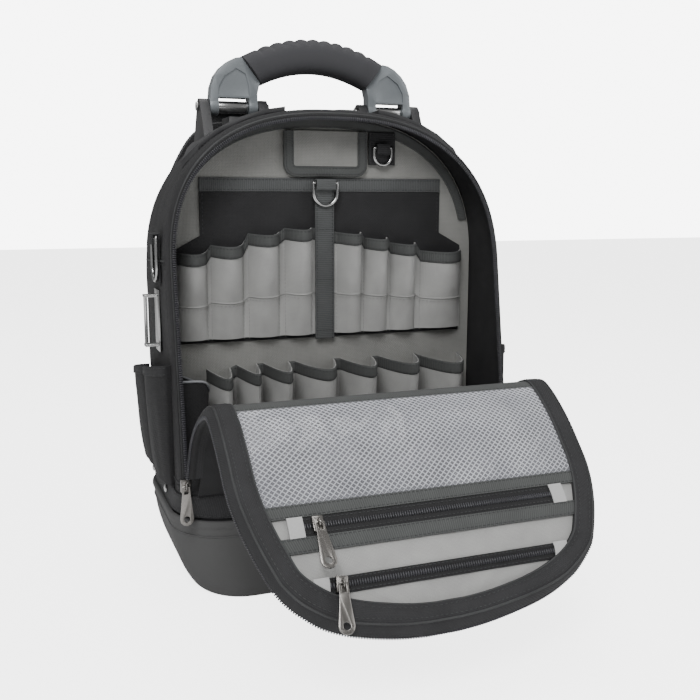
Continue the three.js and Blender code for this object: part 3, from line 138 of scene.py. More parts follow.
def smooth(obj: bpy.types.Object, degrees: float = 40.0) -> None:
    """Shades an object smooth, with sharp edges where faces meet at more than an angle."""
    pick(obj)
    bpy.ops.object.shade_smooth_by_angle(angle=math.radians(degrees))


def turn_outwards(obj: bpy.types.Object, toward: Sequence[float] | None) -> None:
    """Flips an open sheet whose faces look the wrong way.

    Args:
        obj: The sheet.
        toward: The direction that its faces should look, or None for away from its middle.
    """
    mesh = obj.data
    count = len(mesh.polygons)
    normals, centres, areas = np.empty(count * 3), np.empty(count * 3), np.empty(count)
    mesh.polygons.foreach_get("normal", normals)
    mesh.polygons.foreach_get("center", centres)
    mesh.polygons.foreach_get("area", areas)
    normals, centres = normals.reshape(-1, 3), centres.reshape(-1, 3)
    aim = centres - centres.mean(axis=0) if toward is None else np.asarray(toward, float)[None, :]
    if float(((normals * aim).sum(axis=1) * areas).sum()) < 0:
        edit(obj, bpy.ops.mesh.flip_normals)


def unit(rows: np.ndarray) -> np.ndarray:
    """Returns rows of directions, each made one long."""
    return rows / np.linalg.norm(rows, axis=1, keepdims=True).clip(1e-6)


def linked(name: str, data: bpy.types.ID) -> bpy.types.Object:
    """Returns a new object of some data, linked to the scene."""
    obj = bpy.data.objects.new(name, data)
    bpy.context.scene.collection.objects.link(obj)
    return obj


def stand(line: np.ndarray, y: np.ndarray | float) -> np.ndarray:
    """Returns a line of x and z as points at depth y."""
    return np.column_stack([line[:, 0], np.broadcast_to(y, len(line)), line[:, 1]])


def drawn_in(ring: np.ndarray, *shares: float) -> list[np.ndarray]:
    """Returns a ring once for each share, drawn in to its middle."""
    middle = ring.mean(axis=0)
    return [middle + (ring - middle) * share for share in shares]


def length_of(points: np.ndarray) -> float:
    """Returns the length of a line of points."""
    return float(np.linalg.norm(np.diff(points, axis=0), axis=1).sum())


def sheet_grid(
    name: str,
    surface: Surface,
    columns: int,
    rows: int,
    wall: float = 0.0,
    toward: Sequence[float] | None = None,
    looped: bool = False,
    turned: bool = False,
) -> bpy.types.Object:
    """Lays a grid over a surface, with UVs in metres, and keeps the size of its cut.

    Args:
        name: The piece's name.
        surface: Turns arrays of u and v, both from 0 to 1, into points in millimetres.
        columns: Cells along u.
        rows: Cells along v.
        wall: How thick the sheet is made inwards in millimetres, or 0 to leave it open.
        toward: The direction its faces look, or None for away from its middle.
        looped: Whether the first and last columns meet.
        turned: Whether its threads run along u instead of v.

    Returns:
        The new object.
    """
    bpy.ops.object.select_all(action="DESELECT")
    bpy.ops.mesh.primitive_grid_add(x_subdivisions=columns, y_subdivisions=rows, size=1.0)
    obj = named(bpy.context.active_object, name)
    flat = points_of(obj)[:, :2] + 0.5
    place_points(obj, surface(flat[:, 0], flat[:, 1]) * MM)
    line = np.linspace(0, 1, 80)
    places = [np.full(80, share) for share in (0.02, 0.3, 0.5, 0.7, 0.98)]
    across = max(length_of(surface(line, place)) for place in places) * MM
    along = max(length_of(surface(place, line)) for place in places) * MM
    layer = obj.data.uv_layers.active.data
    uv = np.empty(len(layer) * 2)
    layer.foreach_get("uv", uv)
    uv = uv.reshape(-1, 2) * (across, along)
    layer.foreach_set("uv", np.ascontiguousarray(uv[:, ::-1] if turned else uv).ravel())
    turn_outwards(obj, toward)
    if looped:
        edit(obj, lambda: bpy.ops.mesh.remove_doubles(threshold=1e-5))
    if wall:
        modify(obj, "SOLIDIFY", thickness=wall * MM, offset=-1.0)
    smooth(obj)
    return obj


def resampled(points: np.ndarray, count: int) -> np.ndarray:
    """Returns a line of points again as count points with even spaces."""
    return resampled_with(points, points[:, :0], count)[0]


def curved(points: Sequence[Sequence[float]], parts: int = 12) -> np.ndarray:
    """A smooth curve through a few points.

    Args:
        points: The points, each of any number of coordinates.
        parts: How many steps there are between two points.

    Returns:
        The curve as rows.
    """
    p = np.asarray(points, float)
    p = np.vstack([2 * p[0] - p[1], p, 2 * p[-1] - p[-2]])
    out = []
    for a, b, c, d in zip(p[:-3], p[1:-2], p[2:-1], p[3:]):
        t0, t1, t2 = (max(1e-9, np.linalg.norm(y - x)) ** 0.5 for x, y in ((a, b), (b, c), (c, d)))
        m1 = ((b - a) / t0 - (c - a) / (t0 + t1) + (c - b) / t1) * t1
        m2 = ((c - b) / t1 - (d - b) / (t1 + t2) + (d - c) / t2) * t1
        t = np.linspace(0, 1, parts, endpoint=False)[:, None]
        out.append(
            b + m1 * t + (3 * (c - b) - 2 * m1 - m2) * t**2 + (2 * (b - c) + m1 + m2) * t**3
        )
    return np.vstack([*out, p[-2]])


def read(table: Table, x: np.ndarray | float, column: int = 1) -> np.ndarray:
    """Reads a column of a table as a curve of straight stretches over its first column."""
    rows = np.asarray(table, float)
    return np.interp(x, rows[:, 0], rows[:, column])


def ripple(points: np.ndarray, wave: float, height: float, seed: float = 0.0) -> np.ndarray:
    """Soft uneven waves, the same each time.

    Args:
        points: Rows of points.
        wave: The rough length of the waves.
        height: The greatest height.
        seed: Shifts the pattern.

    Returns:
        A height for each point.
    """
    q = points / wave * 2 * math.pi
    x, y, z = (q[:, k] for k in range(3))
    total = (
        np.sin(x * 0.9 + 0.6 * y + seed)
        + np.sin(y * 1.1 - 0.7 * z + 1.3 * seed + 1.7)
        + np.sin(z * 0.8 + 0.5 * x + 2.1 * seed + 0.4)
        + 0.6 * np.sin(1.9 * x - 1.4 * z + 0.8 * seed)
        + 0.6 * np.sin(2.1 * y + 1.7 * x - 0.5 * seed)
    )
    return height * total / 4.2


def refined(
    node: bpy.types.Object, name: str, bevel: float, degrees: float = 32.0, levels: int = 0
) -> bpy.types.Object:
    """A finer copy of a CAD node, with its edges rounded.

    Args:
        node: The CAD node.
        name: The new piece's name.
        bevel: How far the edges are rounded, in millimetres.
        degrees: Edges sharper than this are rounded.
        levels: How often its faces are subdivided and smoothed.

    Returns:
        The new object.
    """
    obj = linked(name, node.data.copy())
    obj.data.name = name
    edit(
        obj,
        lambda: bpy.ops.mesh.remove_doubles(threshold=1e-6),
        lambda: bpy.ops.mesh.dissolve_limited(angle_limit=math.radians(0.6)),
    )
    if bevel:
        modify(
            obj,
            "BEVEL",
            width=bevel * MM,
            segments=2,
            limit_method="ANGLE",
            angle_limit=math.radians(degrees),
            use_clamp_overlap=True,
        )
    if levels:
        modify(obj, "SUBSURF", levels=levels, render_levels=levels)
    smooth(obj, degrees + 8)
    return obj


def repeated(name: str, seed: bpy.types.Object, places: Sequence[np.ndarray]) -> bpy.types.Object:
    """One mesh of many copies of a small seed, which is then removed.

    Args:
        name: The piece's name.
        seed: The object that is copied.
        places: A 4 by 4 matrix for each copy.

    Returns:
        The new object.
    """
    points = points_of(seed)
    faces = [tuple(face.vertices) for face in seed.data.polygons]
    all_points = np.vstack([points @ m[:3, :3].T + m[:3, 3] for m in places])
    count = len(points)
    all_faces = [tuple(k + i * count for k in face) for i in range(len(places)) for face in faces]
    mesh = bpy.data.meshes.new(name)
    mesh.from_pydata(all_points.tolist(), [], all_faces)
    mesh.shade_smooth()
    obj = linked(name, mesh)
    bpy.data.objects.remove(seed)
    return obj


def frames(points: np.ndarray, out: np.ndarray, pitch: float) -> list[np.ndarray]:
    """Places for small copies along a line.

    Args:
        points: The line, as rows in millimetres.
        out: The direction off the surface, one row or one for each point.
        pitch: The space between copies.

    Returns:
        Matrices whose X runs along the line and whose Z points off the surface.
    """
    count = max(3, int(round(length_of(points) / pitch)) + 1)
    normals = np.broadcast_to(np.asarray(out, float), points.shape)
    centre, normal = resampled_with(points, normals, count)
    run = unit(np.gradient(centre, axis=0))
    normal = unit(normal - run * (normal * run).sum(axis=1, keepdims=True))
    side = np.cross(normal, run)
    places = []
    for c, r, s, n in zip(centre, run, side, normal):
        matrix = np.eye(4)
        matrix[:3, 0], matrix[:3, 1], matrix[:3, 2], matrix[:3, 3] = r, s, n, c * MM
        places.append(matrix)
    return places


def resampled_with(points: np.ndarray, values: np.ndarray, count: int) -> tuple[np.ndarray, np.ndarray]:
    """Resamples a line with even spaces, and values that belong to its points with it.

    Args:
        points: The line, as rows.
        values: A row for each point.
        count: How many points come back.

    Returns:
        The new points and the new values.
    """
    joined = np.hstack([points, values])
    steps = np.linalg.norm(np.diff(points, axis=0), axis=1)
    place = np.concatenate([[0.0], np.cumsum(steps)])
    even = np.linspace(0, place[-1], count)
    new = np.stack([np.interp(even, place, joined[:, k]) for k in range(joined.shape[1])], axis=1)
    return new[:, : points.shape[1]], new[:, points.shape[1] :]


def bead(name: str, points: np.ndarray, radius: float, closed: bool = False) -> bpy.types.Object:
    """A round cord of piping along a line, as a mesh.

    Args:
        name: The piece's name.
        points: The line, as rows in millimetres.
        radius: The piping's radius in millimetres.
        closed: Whether the line is a loop.

    Returns:
        The new object.
    """
    curve = bpy.data.curves.new(name, "CURVE")
    curve.dimensions = "3D"
    curve.bevel_depth = radius * MM
    curve.bevel_resolution = 3
    curve.use_fill_caps = True
    spline = curve.splines.new("POLY")
    spline.points.add(len(points) - 1)
    spline.points.foreach_set("co", np.hstack([points * MM, np.ones((len(points), 1))]).ravel())
    spline.use_cyclic_u = closed
    pick(linked(name, curve))
    bpy.ops.object.convert(target="MESH")
    obj = named(bpy.context.active_object, name)
    smooth(obj, 60)
    return obj


def stitch_seed() -> bpy.types.Object:
    """Returns one stitch of thread, lying along X."""
    bpy.ops.object.select_all(action="DESELECT")
    bpy.ops.mesh.primitive_uv_sphere_add(segments=6, ring_count=4, radius=1.0)
    obj = bpy.context.active_object
    place_points(obj, points_of(obj)[:, [2, 0, 1]] * (1.35 * MM, 0.38 * MM, 0.3 * MM))
    return obj


def tooth_seed(across: float, along: float, height: float) -> bpy.types.Object:
    """One rounded tooth of a coil zip.

    Args:
        across: Its length across the zip, in millimetres.
        along: Its width along the zip.
        height: Its height.

    Returns:
        The object.
    """
    bpy.ops.object.select_all(action="DESELECT")
    bpy.ops.mesh.primitive_uv_sphere_add(segments=8, ring_count=5, radius=1.0)
    obj = bpy.context.active_object
    p = points_of(obj)
    p = np.sign(p) * np.abs(p) ** 0.7
    place_points(obj, p[:, [0, 2, 1]] * (along * MM / 2, across * MM / 2, height * MM / 2))
    return obj


# Finishes


def linear(hex_colour: str) -> tuple[float, float, float, float]:
    """Returns a hex colour as the linear values that a shader takes."""
    values = [int(hex_colour[i : i + 2], 16) / 255 for i in (0, 2, 4)]
    out = [v / 12.92 if v <= 0.04045 else ((v + 0.055) / 1.055) ** 2.4 for v in values]
    return (out[0], out[1], out[2], 1.0)


class Tree:
    """Short ways to add and link nodes in one shader tree."""

    def __init__(self, tree: bpy.types.NodeTree) -> None:
        """Keeps the tree that nodes are added to."""
        self.tree = tree

    def add(self, kind: str, **settings: object) -> bpy.types.Node:
        """Adds a node with its settings and returns it."""
        node = self.tree.nodes.new(kind)
        for key, value in settings.items():
            setattr(node, key, value)
        return node

    def link(self, source: bpy.types.NodeSocket, target: bpy.types.NodeSocket) -> None:
        """Links an output to an input."""
        self.tree.links.new(source, target)

    def put(self, target: bpy.types.NodeSocket, value: object) -> None:
        """Links a socket to a target, or sets the target's own value."""
        if isinstance(value, bpy.types.NodeSocket):
            self.link(value, target)
        else:
            target.default_value = value

    def math(self, operation: str, *values: object) -> bpy.types.NodeSocket:
        """Adds a math node on its inputs and returns its result."""
        node = self.add("ShaderNodeMath", operation=operation)
        for socket, value in zip(node.inputs, values):
            self.put(socket, value)
        return node.outputs[0]

    def noise(self, vector: bpy.types.NodeSocket, scale: object, detail: float) -> bpy.types.NodeSocket:
        """Adds a noise texture on a vector and returns its value."""
        node = self.add("ShaderNodeTexNoise")
        self.link(vector, node.inputs["Vector"])
        self.put(node.inputs["Scale"], scale)
        node.inputs["Detail"].default_value = detail
        return node.outputs["Fac"]


def group(name: str, inputs: dict[str, object], outputs: dict[str, str]) -> bpy.types.NodeTree:
    """A new shader node group with its sockets.

    Args:
        name: The group's name.
        inputs: Each input with its default; a Vector has None.
        outputs: Each output with its socket type.

    Returns:
        The group's tree.
    """
    tree = bpy.data.node_groups.new(name, "ShaderNodeTree")
    for key, value in inputs.items():
        kind = "NodeSocketVector" if value is None else "NodeSocketFloat"
        socket = tree.interface.new_socket(key, in_out="INPUT", socket_type=kind)
        if value is not None:
            socket.default_value = value
    for key, kind in outputs.items():
        tree.interface.new_socket(key, in_out="OUTPUT", socket_type=kind)
    return tree


class Pattern(Enum):
    """The patterns that the finishes share."""

    PLAIN = "plain weave"
    RIBBED = "ribbed webbing"
    MOULDED = "moulded grain"
    BRUSHED = "handled metal"


class Patterns:
    """The shared node groups, each made once."""

    made: dict[Pattern, bpy.types.NodeTree] = {}

    @classmethod
    def get(cls, pattern: Pattern) -> bpy.types.NodeTree:
        """Returns the node group of a pattern."""
        if pattern not in cls.made:
            maker = {
                Pattern.PLAIN: cls.plain,
                Pattern.RIBBED: cls.ribbed,
                Pattern.MOULDED: cls.moulded,
                Pattern.BRUSHED: cls.brushed,
            }[pattern]
            cls.made[pattern] = maker(pattern.value)
        return cls.made[pattern]

    @staticmethod
    def start(name: str, pitch: float) -> tuple[Tree, bpy.types.Node, bpy.types.Node]:
        """A group with a vector, a pitch and a mottle in, and a height and a shade out."""
        inputs = {"Vector": None, "Pitch": pitch, "Mottle": 0.3}
        tree = group(name, inputs, {"Height": "NodeSocketFloat", "Shade": "NodeSocketFloat"})
        made = Tree(tree)
        return made, made.add("NodeGroupInput"), made.add("NodeGroupOutput")

    @classmethod
    def plain(cls, name: str) -> bpy.types.NodeTree:
        """Threads that go over and under each other both ways."""
        t, source, sink = cls.start(name, 0.0011)
        split = t.add("ShaderNodeSeparateXYZ")
        t.link(source.outputs["Vector"], split.inputs[0])
        waves, cells = [], []
        for axis in (0, 1):
            run = t.math("DIVIDE", split.outputs[axis], source.outputs["Pitch"])
            waves.append(t.math("ABSOLUTE", t.math("SINE", t.math("MULTIPLY", run, math.pi))))
            cells.append(t.math("FLOOR", run))
        odd = t.math("FLOORED_MODULO", t.math("ADD", cells[0], cells[1]), 2.0)
        over = t.math("MULTIPLY", waves[0], odd)
        under = t.math("MULTIPLY", waves[1], t.math("SUBTRACT", 1.0, odd))
        height = t.math("ADD", over, under)
        cls.shade(t, source, sink, height, 0.5)
        return t.tree

    @classmethod
    def ribbed(cls, name: str) -> bpy.types.NodeTree:
        """Ribs across a web, with finer threads along it."""
        t, source, sink = cls.start(name, 0.0022)
        split = t.add("ShaderNodeSeparateXYZ")
        t.link(source.outputs["Vector"], split.inputs[0])
        across = t.math("DIVIDE", split.outputs[0], source.outputs["Pitch"])
        along = t.math("DIVIDE", split.outputs[1], source.outputs["Pitch"])
        fine = t.math("ABSOLUTE", t.math("SINE", t.math("MULTIPLY", across, 2.2 * math.pi)))
        slant = t.math("ADD", along, t.math("MULTIPLY", fine, 0.25))
        rib = t.math("ABSOLUTE", t.math("SINE", t.math("MULTIPLY", slant, math.pi)))
        height = t.math("ADD", t.math("MULTIPLY", rib, 0.75), t.math("MULTIPLY", fine, 0.25))
        cls.shade(t, source, sink, height, 0.6)
        return t.tree

    @classmethod
    def moulded(cls, name: str) -> bpy.types.NodeTree:
        """The fine uneven grain of moulded rubber and plastic, with a few dull rubs."""
        t, source, sink = cls.start(name, 0.0016)
        vector = source.outputs["Vector"]
        scale = t.math("DIVIDE", 1.0, source.outputs["Pitch"])
        grain = t.noise(vector, scale, 3.0)
        cls.shade(t, source, sink, grain, 0.25)
        return t.tree

    @classmethod
    def brushed(cls, name: str) -> bpy.types.NodeTree:
        """Metal that has been handled: faint scratches one way, and cloudy dull places."""
        t, source, sink = cls.start(name, 0.0008)
        stretch = t.add("ShaderNodeMapping")
        stretch.inputs["Scale"].default_value = (1.0, 0.12, 1.0)
        t.link(source.outputs["Vector"], stretch.inputs["Vector"])
        scale = t.math("DIVIDE", 1.0, source.outputs["Pitch"])
        lines = t.noise(stretch.outputs[0], scale, 2.0)
        cls.shade(t, source, sink, lines, 0.35)
        return t.tree

    @staticmethod
    def shade(
        t: Tree, source: bpy.types.Node, sink: bpy.types.Node, height: bpy.types.NodeSocket, own: float
    ) -> None:
        """Ends a group: the height goes out, and shade is part painted shade, with the pattern's hollows
        darker than its raised parts, and part broad mottle of tone.

        Args:
            t: The group.
            source: Its input node.
            sink: Its output node.
            height: The pattern's height.
            own: How much of the shade is the pattern's painted shade of its hollows.
        """
        broad = t.noise(source.outputs["Vector"], 28.0, 4.0)
        mottle = t.math("MULTIPLY", t.math("SUBTRACT", broad, 0.5), source.outputs["Mottle"])
        mottle = t.math("MULTIPLY", mottle, 3.0)
        # Painted shade: the pattern's hollows are darker and its raised parts lighter.
        painted_hollow_shade = t.math("ADD", t.math("MULTIPLY", height, own), 0.5 - own / 2)
        t.link(height, sink.inputs["Height"])
        t.link(t.math("ADD", painted_hollow_shade, mottle), sink.inputs["Shade"])


@dataclass(frozen=True)
class Finish:
    """One finish: two colours that a pattern mixes, and how the surface takes light."""

    name: str
    pattern: Pattern
    dark: str
    light: str
    pitch: float = 1.1
    relief: float = 0.2
    roughness: float = 0.85
    spread: float = 0.1
    mottle: float = 0.3
    metallic: float = 0.0
    sheen: float = 0.0
    coat: float = 0.0
    alpha: float = 1.0
    woven: bool = True

    def material(self) -> bpy.types.Material:
        """Returns the material, made the first time it is asked for."""
        known = bpy.data.materials.get(self.name)
        return known or self.build()

    def build(self) -> bpy.types.Material:
        """Builds the material's nodes and returns it."""
        material = bpy.data.materials.new(self.name)
        material.use_nodes = True
        t = Tree(material.node_tree)
        shader = material.node_tree.nodes["Principled BSDF"]
        where = t.add("ShaderNodeTexCoord")
        place = where.outputs["UV" if self.woven else "Object"]
        node = t.add("ShaderNodeGroup", node_tree=Patterns.get(self.pattern))
        t.link(place, node.inputs["Vector"])
        node.inputs["Pitch"].default_value = self.pitch * MM
        node.inputs["Mottle"].default_value = self.mottle
        mix = t.add("ShaderNodeMix", data_type="RGBA", clamp_factor=True)
        t.link(node.outputs["Shade"], mix.inputs[0])
        mix.inputs[6].default_value = linear(self.dark)
        mix.inputs[7].default_value = linear(self.light)
        t.link(mix.outputs[2], shader.inputs["Base Color"])
        rough = t.math("MULTIPLY_ADD", node.outputs["Shade"], -self.spread, self.roughness + self.spread / 2)
        t.link(rough, shader.inputs["Roughness"])
        bump = t.add("ShaderNodeBump")
        bump.inputs["Strength"].default_value = 0.9
        bump.inputs["Distance"].default_value = self.relief * MM
        t.link(node.outputs["Height"], bump.inputs["Height"])
        t.link(bump.outputs["Normal"], shader.inputs["Normal"])
        shader.inputs["Metallic"].default_value = self.metallic
        shader.inputs["Sheen Weight"].default_value = self.sheen
        shader.inputs["Coat Weight"].default_value = self.coat
        shader.inputs["Alpha"].default_value = self.alpha
        return material


class Finishes:
    """Every finish on the pack."""

    TUB = Finish("tub_rubber", Pattern.MOULDED, "262627", "3e3e40", 1.3, 0.12, 0.62, 0.2, woven=False)
    SHELL = Finish("shell_nylon", Pattern.PLAIN, "0d0d0e", "242426", 1.3, 0.22, 0.78)
    LINING = Finish("grey_lining", Pattern.PLAIN, "7c7c7b", "b1b1af", 1.3, 0.2, 0.9, mottle=0.22, sheen=0.1)
    # The grey lining made darker: painted shade on the tool panel and top flap inside the opening.
    LINING_IN_PAINTED_SHADE = Finish(
        "tool_panel_cloth", Pattern.PLAIN, "626261", "93938f", 1.4, 0.22, 0.9, mottle=0.25, sheen=0.1
    )
    # Near-black, blotchy sheet: painted shade inside the window pocket, with blotches for what is kept in it.
    BACKING_IN_PAINTED_SHADE = Finish("window_backing", Pattern.PLAIN, "1c1c20", "58585e", 1.5, 0.2, 0.8, mottle=0.8)
    WEB = Finish("grey_webbing", Pattern.RIBBED, "303132", "585a5a", 2.0, 0.3, 0.88, mottle=0.15)
    BINDING = Finish("dark_binding", Pattern.RIBBED, "2c2d2d", "525453", 1.9, 0.3, 0.88, mottle=0.15)
    BLACK = Finish("black_nylon", Pattern.PLAIN, "0c0c0d", "202022", 1.4, 0.25, 0.8)
    BORDER = Finish("border_nylon", Pattern.PLAIN, "111112", "2b2b2d", 1.3, 0.22, 0.8)
    BLACK_WEB = Finish("black_webbing", Pattern.RIBBED, "0e0e0f", "2b2b2d", 2.2, 0.35, 0.82, mottle=0.15)
    TAPE = Finish("zip_tape", Pattern.RIBBED, "060607", "161618", 1.4, 0.2, 0.75, mottle=0.1)
    TEETH = Finish("zip_teeth", Pattern.MOULDED, "121214", "3c3c42", 0.9, 0.05, 0.35, woven=False)
    LINING_CORD = Finish("grey_lining_cord", Pattern.MOULDED, "7c7c7b", "a8a8a6", 0.8, 0.1, 0.85, woven=False)
    TAB = Finish("light_tab", Pattern.PLAIN, "9a9a9a", "c8c8c7", 1.0, 0.2, 0.85, mottle=0.2)
    PIPING = Finish("grey_piping", Pattern.MOULDED, "5b5d60", "8b8d90", 1.0, 0.1, 0.7, woven=False)
    DARK_PIPING = Finish("dark_piping", Pattern.MOULDED, "161617", "3b3c3d", 1.0, 0.1, 0.65, woven=False)
    GREY_THREAD = Finish("grey_thread", Pattern.MOULDED, "6e6e6e", "a5a5a3", 0.5, 0.03, 0.7, woven=False)
    DARK_THREAD = Finish("dark_thread", Pattern.MOULDED, "1c1d1e", "3c3d3e", 0.5, 0.03, 0.7, woven=False)
    STEEL = Finish(
        "bright_steel", Pattern.BRUSHED, "8f8f90", "cfcfce", 0.9, 0.02, 0.2, 0.16, metallic=1.0, woven=False
    )
    PULL = Finish(
        "plated_pull", Pattern.BRUSHED, "6c6966", "a9a6a2", 0.9, 0.02, 0.28, 0.2, metallic=1.0, woven=False
    )
    LEG = Finish(
        "leg_paint", Pattern.MOULDED, "5d6266", "8f9497", 0.9, 0.03, 0.42, 0.2, 0.2,
        metallic=0.35, woven=False,
    )
    PLASTIC = Finish("dark_plastic", Pattern.MOULDED, "1b1b1c", "363638", 0.9, 0.06, 0.5, 0.2, woven=False)
    GRIP = Finish("grip_rubber", Pattern.MOULDED, "0f0f10", "272729", 0.9, 0.08, 0.55, 0.2, woven=False)
    PAD = Finish("pad_mesh", Pattern.PLAIN, "111112", "272729", 2.6, 0.5, 0.9, sheen=0.1)
    # Near-white strands: the net's own grey lightened with painted silver highlights.
    NET_WITH_PAINTED_GLINTS = Finish("window_net", Pattern.MOULDED, "9d9ea5", "f0f2f8", 0.9, 0.05, 0.4, woven=False)
    VINYL = Finish(
        "clear_vinyl", Pattern.MOULDED, "d8dae2", "f2f3f8", 9.0, 0.5, 0.12, 0.05,
        mottle=0.5, alpha=0.17, coat=1.0, woven=False,
    )


def settle(
    obj: bpy.types.Object, finish: Finish, body: str = "bag", stands_for: Sequence[str] = ()
) -> bpy.types.Object:
    """Gives a piece its material, its body and the nodes that it stands for.

    Args:
        obj: The piece.
        finish: Its finish.
        body: The body that it moves with.
        stands_for: CAD nodes that it replaces.

    Returns:
        The piece.
    """
    obj.data.materials.clear()
    obj.data.materials.append(finish.material())
    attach(obj, body)
    if stands_for:
        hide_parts(*stands_for)
    LOG.info("%s: %d faces on %s", obj.name, len(obj.data.polygons), body)
    return obj


def dress(
    nodes: dict[str, bpy.types.Object],
    node: str,
    ending: str,
    bevel: float,
    finish: Finish,
    body: str = "bag",
    levels: int = 0,
) -> bpy.types.Object:
    """Puts a finer, finished copy in the place of a CAD node.

    Args:
        nodes: The CAD nodes by name.
        node: The node's name.
        ending: Ends the new piece's name.
        bevel: How far the edges are rounded, in millimetres.
        finish: The piece's finish.
        body: The body that it moves with.
        levels: How often its faces are subdivided and smoothed.

    Returns:
        The piece.
    """
    piece = refined(nodes[node], f"{node}_{ending}", bevel, levels=levels)
    return settle(piece, finish, body, [node])


# Outlines that the pieces share, in millimetres


def ease(t: np.ndarray | float) -> np.ndarray | float:
    """Returns a soft step from 0 to 1."""
    c = np.clip(t, 0, 1)
    return c * c * (3 - 2 * c)


def mix(a: float, b: float, t: np.ndarray | float) -> np.ndarray | float:
    """Returns the value a share of the way from a to b."""
    return a + (b - a) * t


def front_y(z: np.ndarray | float) -> np.ndarray | float:
    """Returns where the slanted front plane is at height z."""
    return -SHELL_BACK + FRONT_LEAN * (z - HINGE_HEIGHT)


def plan_ring(
    z: float, half: float, front: float, back: float, front_radius: float, back_radius: float
) -> np.ndarray:
    """A rounded rectangle seen from above, as a closed line from the middle of its back.

    Args:
        z: Its height.
        half: Half its width.
        front: The y of its front side.
        back: The y of its back side.
        front_radius: The radius of its front corners.
        back_radius: The radius of its back corners.

    Returns:
        Rows of points; the last is the first again.
    """
    corners = [
        (half - back_radius, back - back_radius, back_radius, 90, 0),
        (half - front_radius, front + front_radius, front_radius, 0, -90),
        (-half + front_radius, front + front_radius, front_radius, -90, -180),
        (-half + back_radius, back - back_radius, back_radius, 180, 90),
    ]
    line = [np.array([[0.0, back]])]
    for x, y, radius, start, end in corners:
        a = np.radians(np.linspace(start, end, 13))
        line.append(np.stack([x + radius * np.cos(a), y + radius * np.sin(a)], axis=1))
    line.append(np.array([[0.0, back]]))
    flat = resampled(np.vstack(line), 241)
    return np.column_stack([flat, np.full(len(flat), z)])


def shell_ring(z: float, grow: float) -> np.ndarray:
    """Returns the shell's outline from above at height z, grown by some millimetres."""
    front = mix(50, 12, ease((z - TUB_HEIGHT) / 34)) + grow
    rear = mix(50, 30, ease((z - TUB_HEIGHT) / 38)) + grow
    half, back = HALF_WIDTH + grow, SHELL_BACK + grow
    return plan_ring(z, half, front_y(z) - grow, back, max(1, front), max(1, rear))


def arch(half: float, foot: float, top: float, count: int = 160) -> np.ndarray:
    """The rounded arch seen from the front, from its right foot over the top to its left foot.

    Args:
        half: Half its width.
        foot: The height of its feet.
        top: The height of its top.
        count: How many points it has.

    Returns:
        Rows of x and z.
    """
    a = np.linspace(0, math.pi, 240)
    x = half * np.sign(np.cos(a)) * np.abs(np.cos(a)) ** (2 / ARCH_POWER)
    z = ARCH_SHOULDER + (top - ARCH_SHOULDER) * np.sin(a).clip(0) ** (2 / ARCH_POWER)
    line = np.stack([x, z], axis=1)
    if foot < ARCH_SHOULDER:
        line = np.vstack([[half, foot], line, [-half, foot]])
    return resampled(line[line[:, 1] >= foot], count)


def arch_half(half: float, top: float, z: np.ndarray) -> np.ndarray:
    """Returns half the arch's width at heights z."""
    rise = np.clip((z - ARCH_SHOULDER) / (top - ARCH_SHOULDER), 0, 1)
    return half * (1 - rise**ARCH_POWER) ** (1 / ARCH_POWER)


def off_hood(x: np.ndarray, z: np.ndarray) -> np.ndarray:
    """Returns the directions off the hood's sides and crown at x and z."""
    return unit(np.stack([x / HALF_WIDTH, np.zeros(len(x)), np.clip((z - 280) / 190, 0, 1)], axis=1))


def through(rings: Sequence[np.ndarray] | np.ndarray) -> Surface:
    """A surface through rows of points.

    Args:
        rings: Rows of as many points each; u runs along a row and v over the rows.

    Returns:
        The surface.
    """
    grid = np.asarray(rings, float)
    rows, columns = grid.shape[:2]

    def surface(u: np.ndarray, v: np.ndarray) -> np.ndarray:
        """Returns the points of the rows at u and v."""
        x, y = u * (columns - 1), v * (rows - 1)
        i = np.clip(np.floor(y).astype(int), 0, rows - 2)
        j = np.clip(np.floor(x).astype(int), 0, columns - 2)
        s, t = (y - i)[:, None], (x - j)[:, None]
        low = grid[i, j] * (1 - t) + grid[i, j + 1] * t
        high = grid[i + 1, j] * (1 - t) + grid[i + 1, j + 1] * t
        return low * (1 - s) + high * s

    return surface


def softened(rings: Sequence[np.ndarray], parts: int = 6) -> np.ndarray:
    """Returns rows of points with smooth rows between them."""
    grid = np.asarray(rings, float)
    rows, columns, _ = grid.shape
    return curved(grid.reshape(rows, columns * 3), parts).reshape(-1, columns, 3)


def flat_uv(obj: bpy.types.Object, across: int, along: int) -> None:
    """Lays an object's UVs flat on two of its axes, in metres."""
    points = points_of(obj)
    loops = np.empty(len(obj.data.loops), dtype=np.int64)
    obj.data.loops.foreach_get("vertex_index", loops)
    layer = obj.data.uv_layers.active or obj.data.uv_layers.new(name="UVMap")
    layer.data.foreach_set("uv", np.ascontiguousarray(points[loops][:, [across, along]]).ravel())


def sewn(
    name: str,
    lines: Sequence[tuple[np.ndarray, np.ndarray]],
    finish: Finish,
    pitch: float = 4.2,
) -> bpy.types.Object:
    """Rows of stitches as one piece.

    Args:
        name: The piece's name.
        lines: For each row its line and the direction off the cloth.
        finish: The thread.
        pitch: The space from stitch to stitch.

    Returns:
        The piece.
    """
    places = [place for line, out in lines for place in frames(line, out, pitch)]
    return settle(repeated(name, stitch_seed(), places), finish)


def coil(name: str, line: np.ndarray, out: np.ndarray, across: float, height: float) -> bpy.types.Object:
    """The teeth of a coil zip as one piece.

    Args:
        name: The piece's name.
        line: The line of the teeth.
        out: The direction off the tape.
        across: The length of a tooth across the zip.
        height: The height of a tooth.

    Returns:
        The piece.
    """
    teeth = repeated(name, tooth_seed(across, 1.5, height), frames(line, out, TOOTH_PITCH))
    return settle(teeth, Finishes.TEETH)


# The pack's parts


